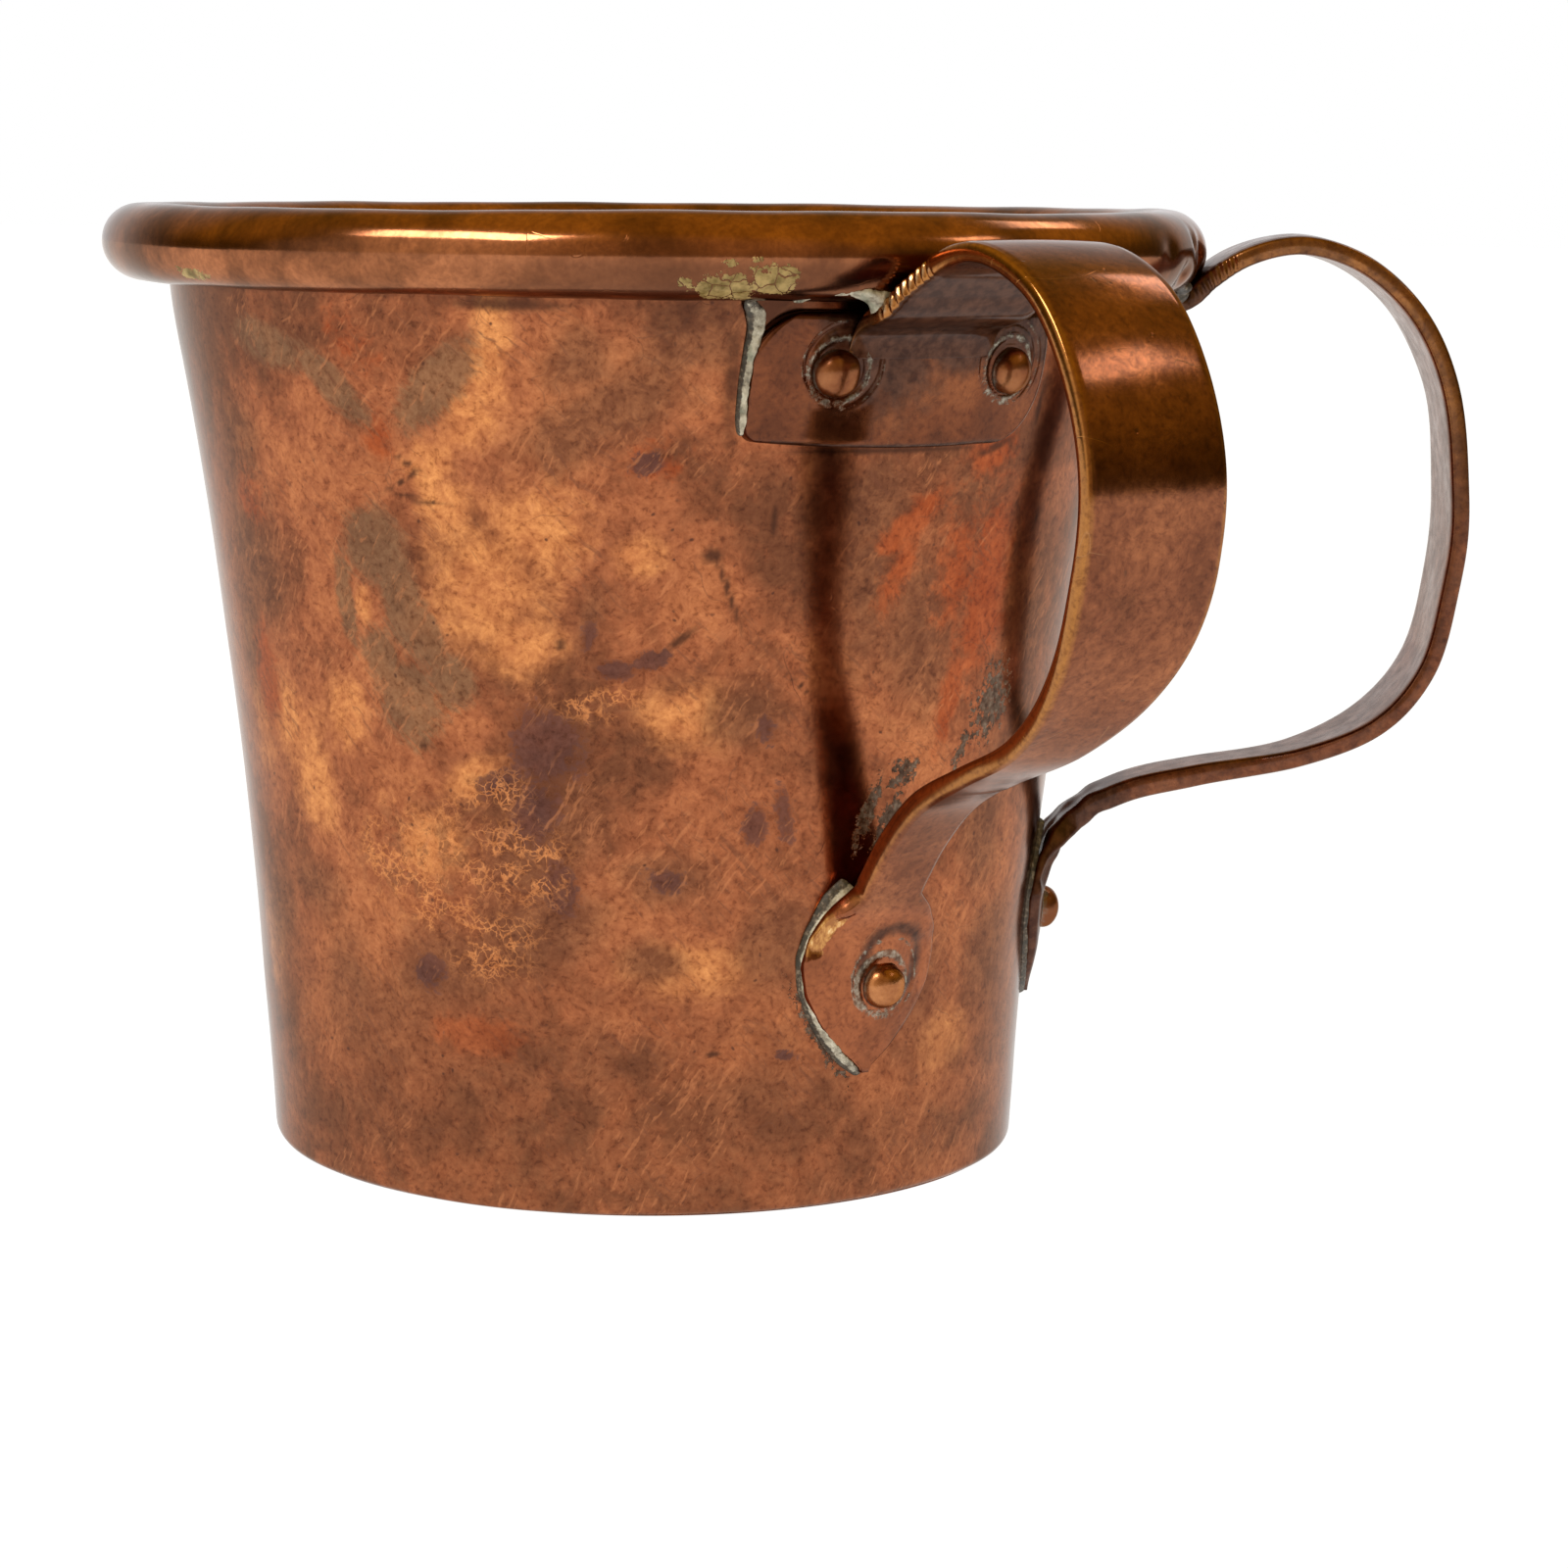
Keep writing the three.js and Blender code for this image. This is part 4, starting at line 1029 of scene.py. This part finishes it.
def rivet_piece(place, name, across, z, seat, dull):
    """One rivet: a worn dome outside, its shank through plate and wall, a hammered head inside."""
    head, height, shank, tail = 3.0, 2.5, 1.65, 3.2
    profile = [(0.0, seat + height)]
    for k in range(1, 13):
        a = math.radians(90 * k / 12)
        profile.append((head * math.sin(a), seat + height * math.cos(a) ** 0.9 if k < 12 else seat + 0.05))
    profile += [(head + 0.1, seat - 0.15), (shank, seat - 0.2)]
    profile += [(r, -SHEET - depth) for r, depth in (
        (shank, 0.05), (tail, 0.1), (tail + 0.15, 0.45), (tail * 0.93, 0.95), (tail * 0.7, 1.25), (tail * 0.35, 1.4),
        (0.0, 1.42))]
    seed = hash_of(place.prefix + name) % 97

    def wobble(points):
        lumps = grain(points, 2.6, seed)[:, None] * np.array([[0.16, 0.16, 0.12]])
        return points + lumps * (np.abs(points[:, 2:3] - seat * 0.5) > seat * 0.5)

    def put(points):
        turn = place.angle + across / float(wall_radius(z, place.angle))
        lean = math.atan(WALL_SLOPE + 2 * WALL_FLARE * z)
        normal = Vector((math.cos(lean) * math.cos(turn), math.cos(lean) * math.sin(turn), -math.sin(lean)))
        matrix = np.array(normal.to_track_quat("Z", "Y").to_matrix())
        return points @ matrix.T + place.on_wall(across, z, 0.0)

    values = {"skirt": lambda p: 0.8 * smoothstep(reach_of(p), head - 0.2, head + 0.1) * (p[:, 2] > seat - 0.5),
              "tail": lambda p: p[:, 2] < 0, "dull": lambda p: dull}
    return lathe_piece(f"{place.prefix}_{name}", profile, 44, RIVET, values, wobble, put)


def solder_run(name, place, line, widths, heights, dark, lumps, slope, lump_size=1.0):
    """A run of solder along a line of (across, z, standoff) points, with its own widths and heights.

    slope leans its top: at 1 the left-hand side, seen along the line, comes down to nothing."""
    steps = 22
    line = np.array(line, float)
    run = np.concatenate([[0], np.cumsum(np.linalg.norm(np.diff(line, axis=0), axis=1))])
    count = max(30, int(run[-1] / 0.28))
    even = np.linspace(0, run[-1], count)
    share = even / run[-1]
    soften = np.hanning(13)[1:-1] / np.hanning(13).sum()
    track = [np.pad(np.interp(even, run, column), 5, "edge") for column in line.T]
    track = np.stack([np.convolve(column, soften, "valid") for column in track], 1)
    ends = np.sqrt(np.clip(np.minimum(even, run[-1] - even) / 0.9, 0.02, 1))
    width, height = ((resample(share, values) * ends)[:, None] for values in (widths, heights))
    tangent = np.gradient(track[:, :2], axis=0)
    tangent /= np.linalg.norm(tangent, axis=1, keepdims=True)
    around = np.linspace(0, TURN, steps, endpoint=False)
    reach, sine = np.cos(around), np.sin(around)
    rise = np.where(sine > 0, np.abs(sine) ** 0.7, -0.15 * np.abs(sine)) * (1 - slope * 0.5 * (1 + reach))
    side_x, side_z = -tangent[:, 1:] * reach * 0.5, tangent[:, :1] * reach * 0.5
    across, z = track[:, 0:1] + side_x * width, track[:, 1:2] + side_z * width
    standoff = track[:, 2:3] + rise * height
    flat = np.stack([across, z, standoff], -1)
    rough = grain(flat, lump_size, hash_of(name) % 50) + 0.5 * grain(flat, lump_size * 0.4, 3)
    rough = rough * lumps * np.minimum(np.minimum(width, height), 1.6) * np.clip(rise, 0, 1)
    points = place.on_wall(across + side_x * rough, z + side_z * rough, standoff + rough)
    # painted shade: the solder is darker on the side that slopes down to the wall
    dark = highest(resample(share, dark)[:, None], 0.85 * smoothstep(slope * reach, 0.1, 0.6))
    return mesh_piece(name, points, tube_faces(count, steps), [SOLDER], {"dark": dark, "brass": 0})


def add(piece, node):
    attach(piece, "root")
    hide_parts(node)


def handle_pieces(prefix, shape):
    place, lift, front = Place(prefix), shape["lift"], prefix == "front"
    add(strap_piece(place, shape), f"{prefix}_handle")
    add(plate_piece(place, shape), f"{prefix}_handle")
    dull = 0.55 if front else 0.85
    for name, across, z, seat, rivet_dull in [
            ("rivet_upper_left", -RIVET_PITCH / 2, PLATE_RIVET_Z, PLATE_THICK, dull),
            ("rivet_upper_right", RIVET_PITCH / 2, PLATE_RIVET_Z, PLATE_THICK, dull),
            ("rivet_lower", LEAF_RIVET[0], LEAF_RIVET[1] + lift, LEAF_THICK + 0.15, 0.1 if front else dull)]:
        add(rivet_piece(place, f"{name}_head", across, z, seat, rivet_dull), f"{prefix}_{name}")
    dark = 0 if front else 0.75
    seam = [(PLATE["left"] - 0.3 + a, z, standoff) for a, z, standoff in SIDE_SEAM]
    leaf = [(a + LEAF_SHIFT - 0.42, h + lift, 0.0) for a, h in LEAF_SEAM]
    add(solder_run(f"{prefix}_side_seam", place, seam, [0.8, 0.9, 0.9, 0.9, 1.0, 1.6, 2.0, 1.2],
                   [1.3, 1.7, 1.8, 1.8, 1.8, 1.8, 1.6, 0.8],
                   [*(np.array([0.5, 0, 0, 0, 0.1, 0.3, 0.4]) + dark), 0.6], 0.3, 0.7),
        f"{prefix}_plate_solder")
    add(solder_run(f"{prefix}_rim_seam", place, RIM_SEAM, [0.8, 0.9, 0.9, 1.1, 2.2, 3.8, 2.4],
                   [0.8, 0.8, 0.8, 1.0, 1.6, 2.0, 1.2],
                   [0.6, *(np.array([0, 0, 0.1, 0.1, 0.15]) + dark), 0.5], 0.4, 0.0, 1.2),
        f"{prefix}_rim_solder")
    add(solder_run(f"{prefix}_leaf_seam", place, leaf,
                   [1.0, 1.4, 1.4, 1.3, 1.0, 0.9, 0.9, 1.3, 3.2, 3.2] if front else [0.6],
                   [0.9, 1.5, 1.9, 2.1, 2.15, 2.15, 2.1, 2.3, 3.0, 2.6] if front else [1.0],
                   np.array([0.6, 0.42, 0.34, 0.2, 0, 0, 0, 0, 0, 0.1]) + dark, 0.25, 0.85),
        f"{prefix}_leaf_solder")


add(body_piece(), "body_shell")
add(wire_piece(), "rim_wire")
add(base_piece(), "base_disc")
add(base_solder_piece(), "base_solder")
for prefix, shape in HANDLES.items():
    handle_pieces(prefix, shape)

# ---- studio ----


def floor():
    mesh = bpy.data.meshes.new("studio_floor")
    mesh.from_pydata([(-6, -2.2, 0), (6, -2.2, 0), (6, 8, 0), (-6, 8, 0)], [], [(0, 1, 2, 3)])
    made = bpy.data.objects.new("studio_floor", mesh)
    made.location.z = -0.00005
    bpy.context.scene.collection.objects.link(made)
    mesh.materials.append(floor_look())


def toward(azimuth, elevation):
    """The unit vector at an azimuth and a height above level, in degrees."""
    a, e = math.radians(azimuth), math.radians(elevation)
    return math.sin(a) * math.cos(e), -math.cos(a) * math.cos(e), math.sin(e)


def sky():
    """White all round for the camera. In reflections: white behind and low down, warm and dim in front and above."""
    world = bpy.data.worlds.new("studio")
    bpy.context.scene.world = world
    air = Wiring(world)
    where = air.node("TexCoord").outputs["Generated"]
    height = air.node("SeparateXYZ", {0: where}).outputs[2]

    def near(azimuth, elevation, wide, narrow):
        """1 near a direction and 0 well away from it. The last two angles are where it starts and where it is full."""
        dot = air.node("VectorMath", {0: where, 1: toward(azimuth, elevation)}, operation="DOT_PRODUCT")
        return air.step(dot.outputs["Value"], math.cos(math.radians(wide)), math.cos(math.radians(narrow)))

    room = air.mix(air.step(height, 0.08, 0.66), (0.11, 0.075, 0.012), (0.5, 0.34, 0.05))
    room = air.mix(air.times(near(-45, 10, 42, 10), 0.9), room, (1.0, 0.9, 0.72))
    room = air.mix(air.times(near(5, 6, 55, 20), 0.8), room, (0.46, 0.33, 0.17))
    sheet = air.mix(air.step(height, 0.05, 0.6), (0.98, 0.98, 1.0), (0.62, 0.6, 0.6))
    colour = air.mix(air.times(near(187, 0, 62, 24), air.step(height, 0.78, 0.5)), room, sheet)
    colour = air.mix(air.node("LightPath").outputs["Is Camera Ray"], colour, (1.0, 1.0, 1.0))
    background = air.node("Background", {"Color": colour})
    air.node("OutputWorld", {"Surface": background.outputs[0]})


def soft_light(name, target, azimuth, elevation, width, height, radiance, distance=1.25):
    """An area light of that radiance, seen from the target in that direction."""
    target = Vector(target)
    where = target + distance * Vector(toward(azimuth, elevation))
    data = bpy.data.lights.new(name, "AREA")
    data.shape = "RECTANGLE"
    data.size, data.size_y = width, height
    data.energy = radiance * math.pi * width * height
    made = bpy.data.objects.new(name, data)
    made.location = where
    made.rotation_mode = "QUATERNION"
    made.rotation_quaternion = (where - target).to_track_quat("Z", "Y")
    bpy.context.scene.collection.objects.link(made)


# where the photo was taken from, in metres, and the focal length in mm that its view has on a 36 mm wide sensor
EYE = (0.019205, -0.52692, 0.132876)
FOCAL_LENGTH = 87.26


def camera():
    """The photo's viewing angle: a little above the rim, looking down 9 degrees, rolled by under one degree."""
    pitch, roll = math.radians(9.083), math.radians(0.881)
    forward = Vector((0, math.cos(pitch), -math.sin(pitch)))
    level_up = Vector((0, math.sin(pitch), math.cos(pitch)))
    level_right = Vector((1, 0, 0))
    right = level_right * math.cos(roll) + level_up * math.sin(roll)
    up = level_up * math.cos(roll) - level_right * math.sin(roll)
    data = bpy.data.cameras.new("camera")
    data.sensor_width = 36
    data.lens = FOCAL_LENGTH
    data.clip_start, data.clip_end = 0.01, 50
    made = bpy.data.objects.new("camera", data)
    axes = Matrix((right, up, -forward)).transposed().to_4x4()
    made.matrix_world = Matrix.Translation(EYE) @ axes
    bpy.context.scene.collection.objects.link(made)
    bpy.context.scene.camera = made


floor()
sky()
soft_light("softbox_left", (-0.02, -0.07, 0.125), -48, 46, 0.72, 0.36, 9)
soft_light("softbox_right", (0.062, -0.088, 0.113), 84, 39.5, 0.3, 0.13, 2.9)
soft_light("softbox_back", (0.049, -0.052, 0.127), 137, 44, 0.4, 0.14, 4)
camera()

settings = bpy.context.scene.view_settings
settings.view_transform = "Standard"
settings.look = "None"
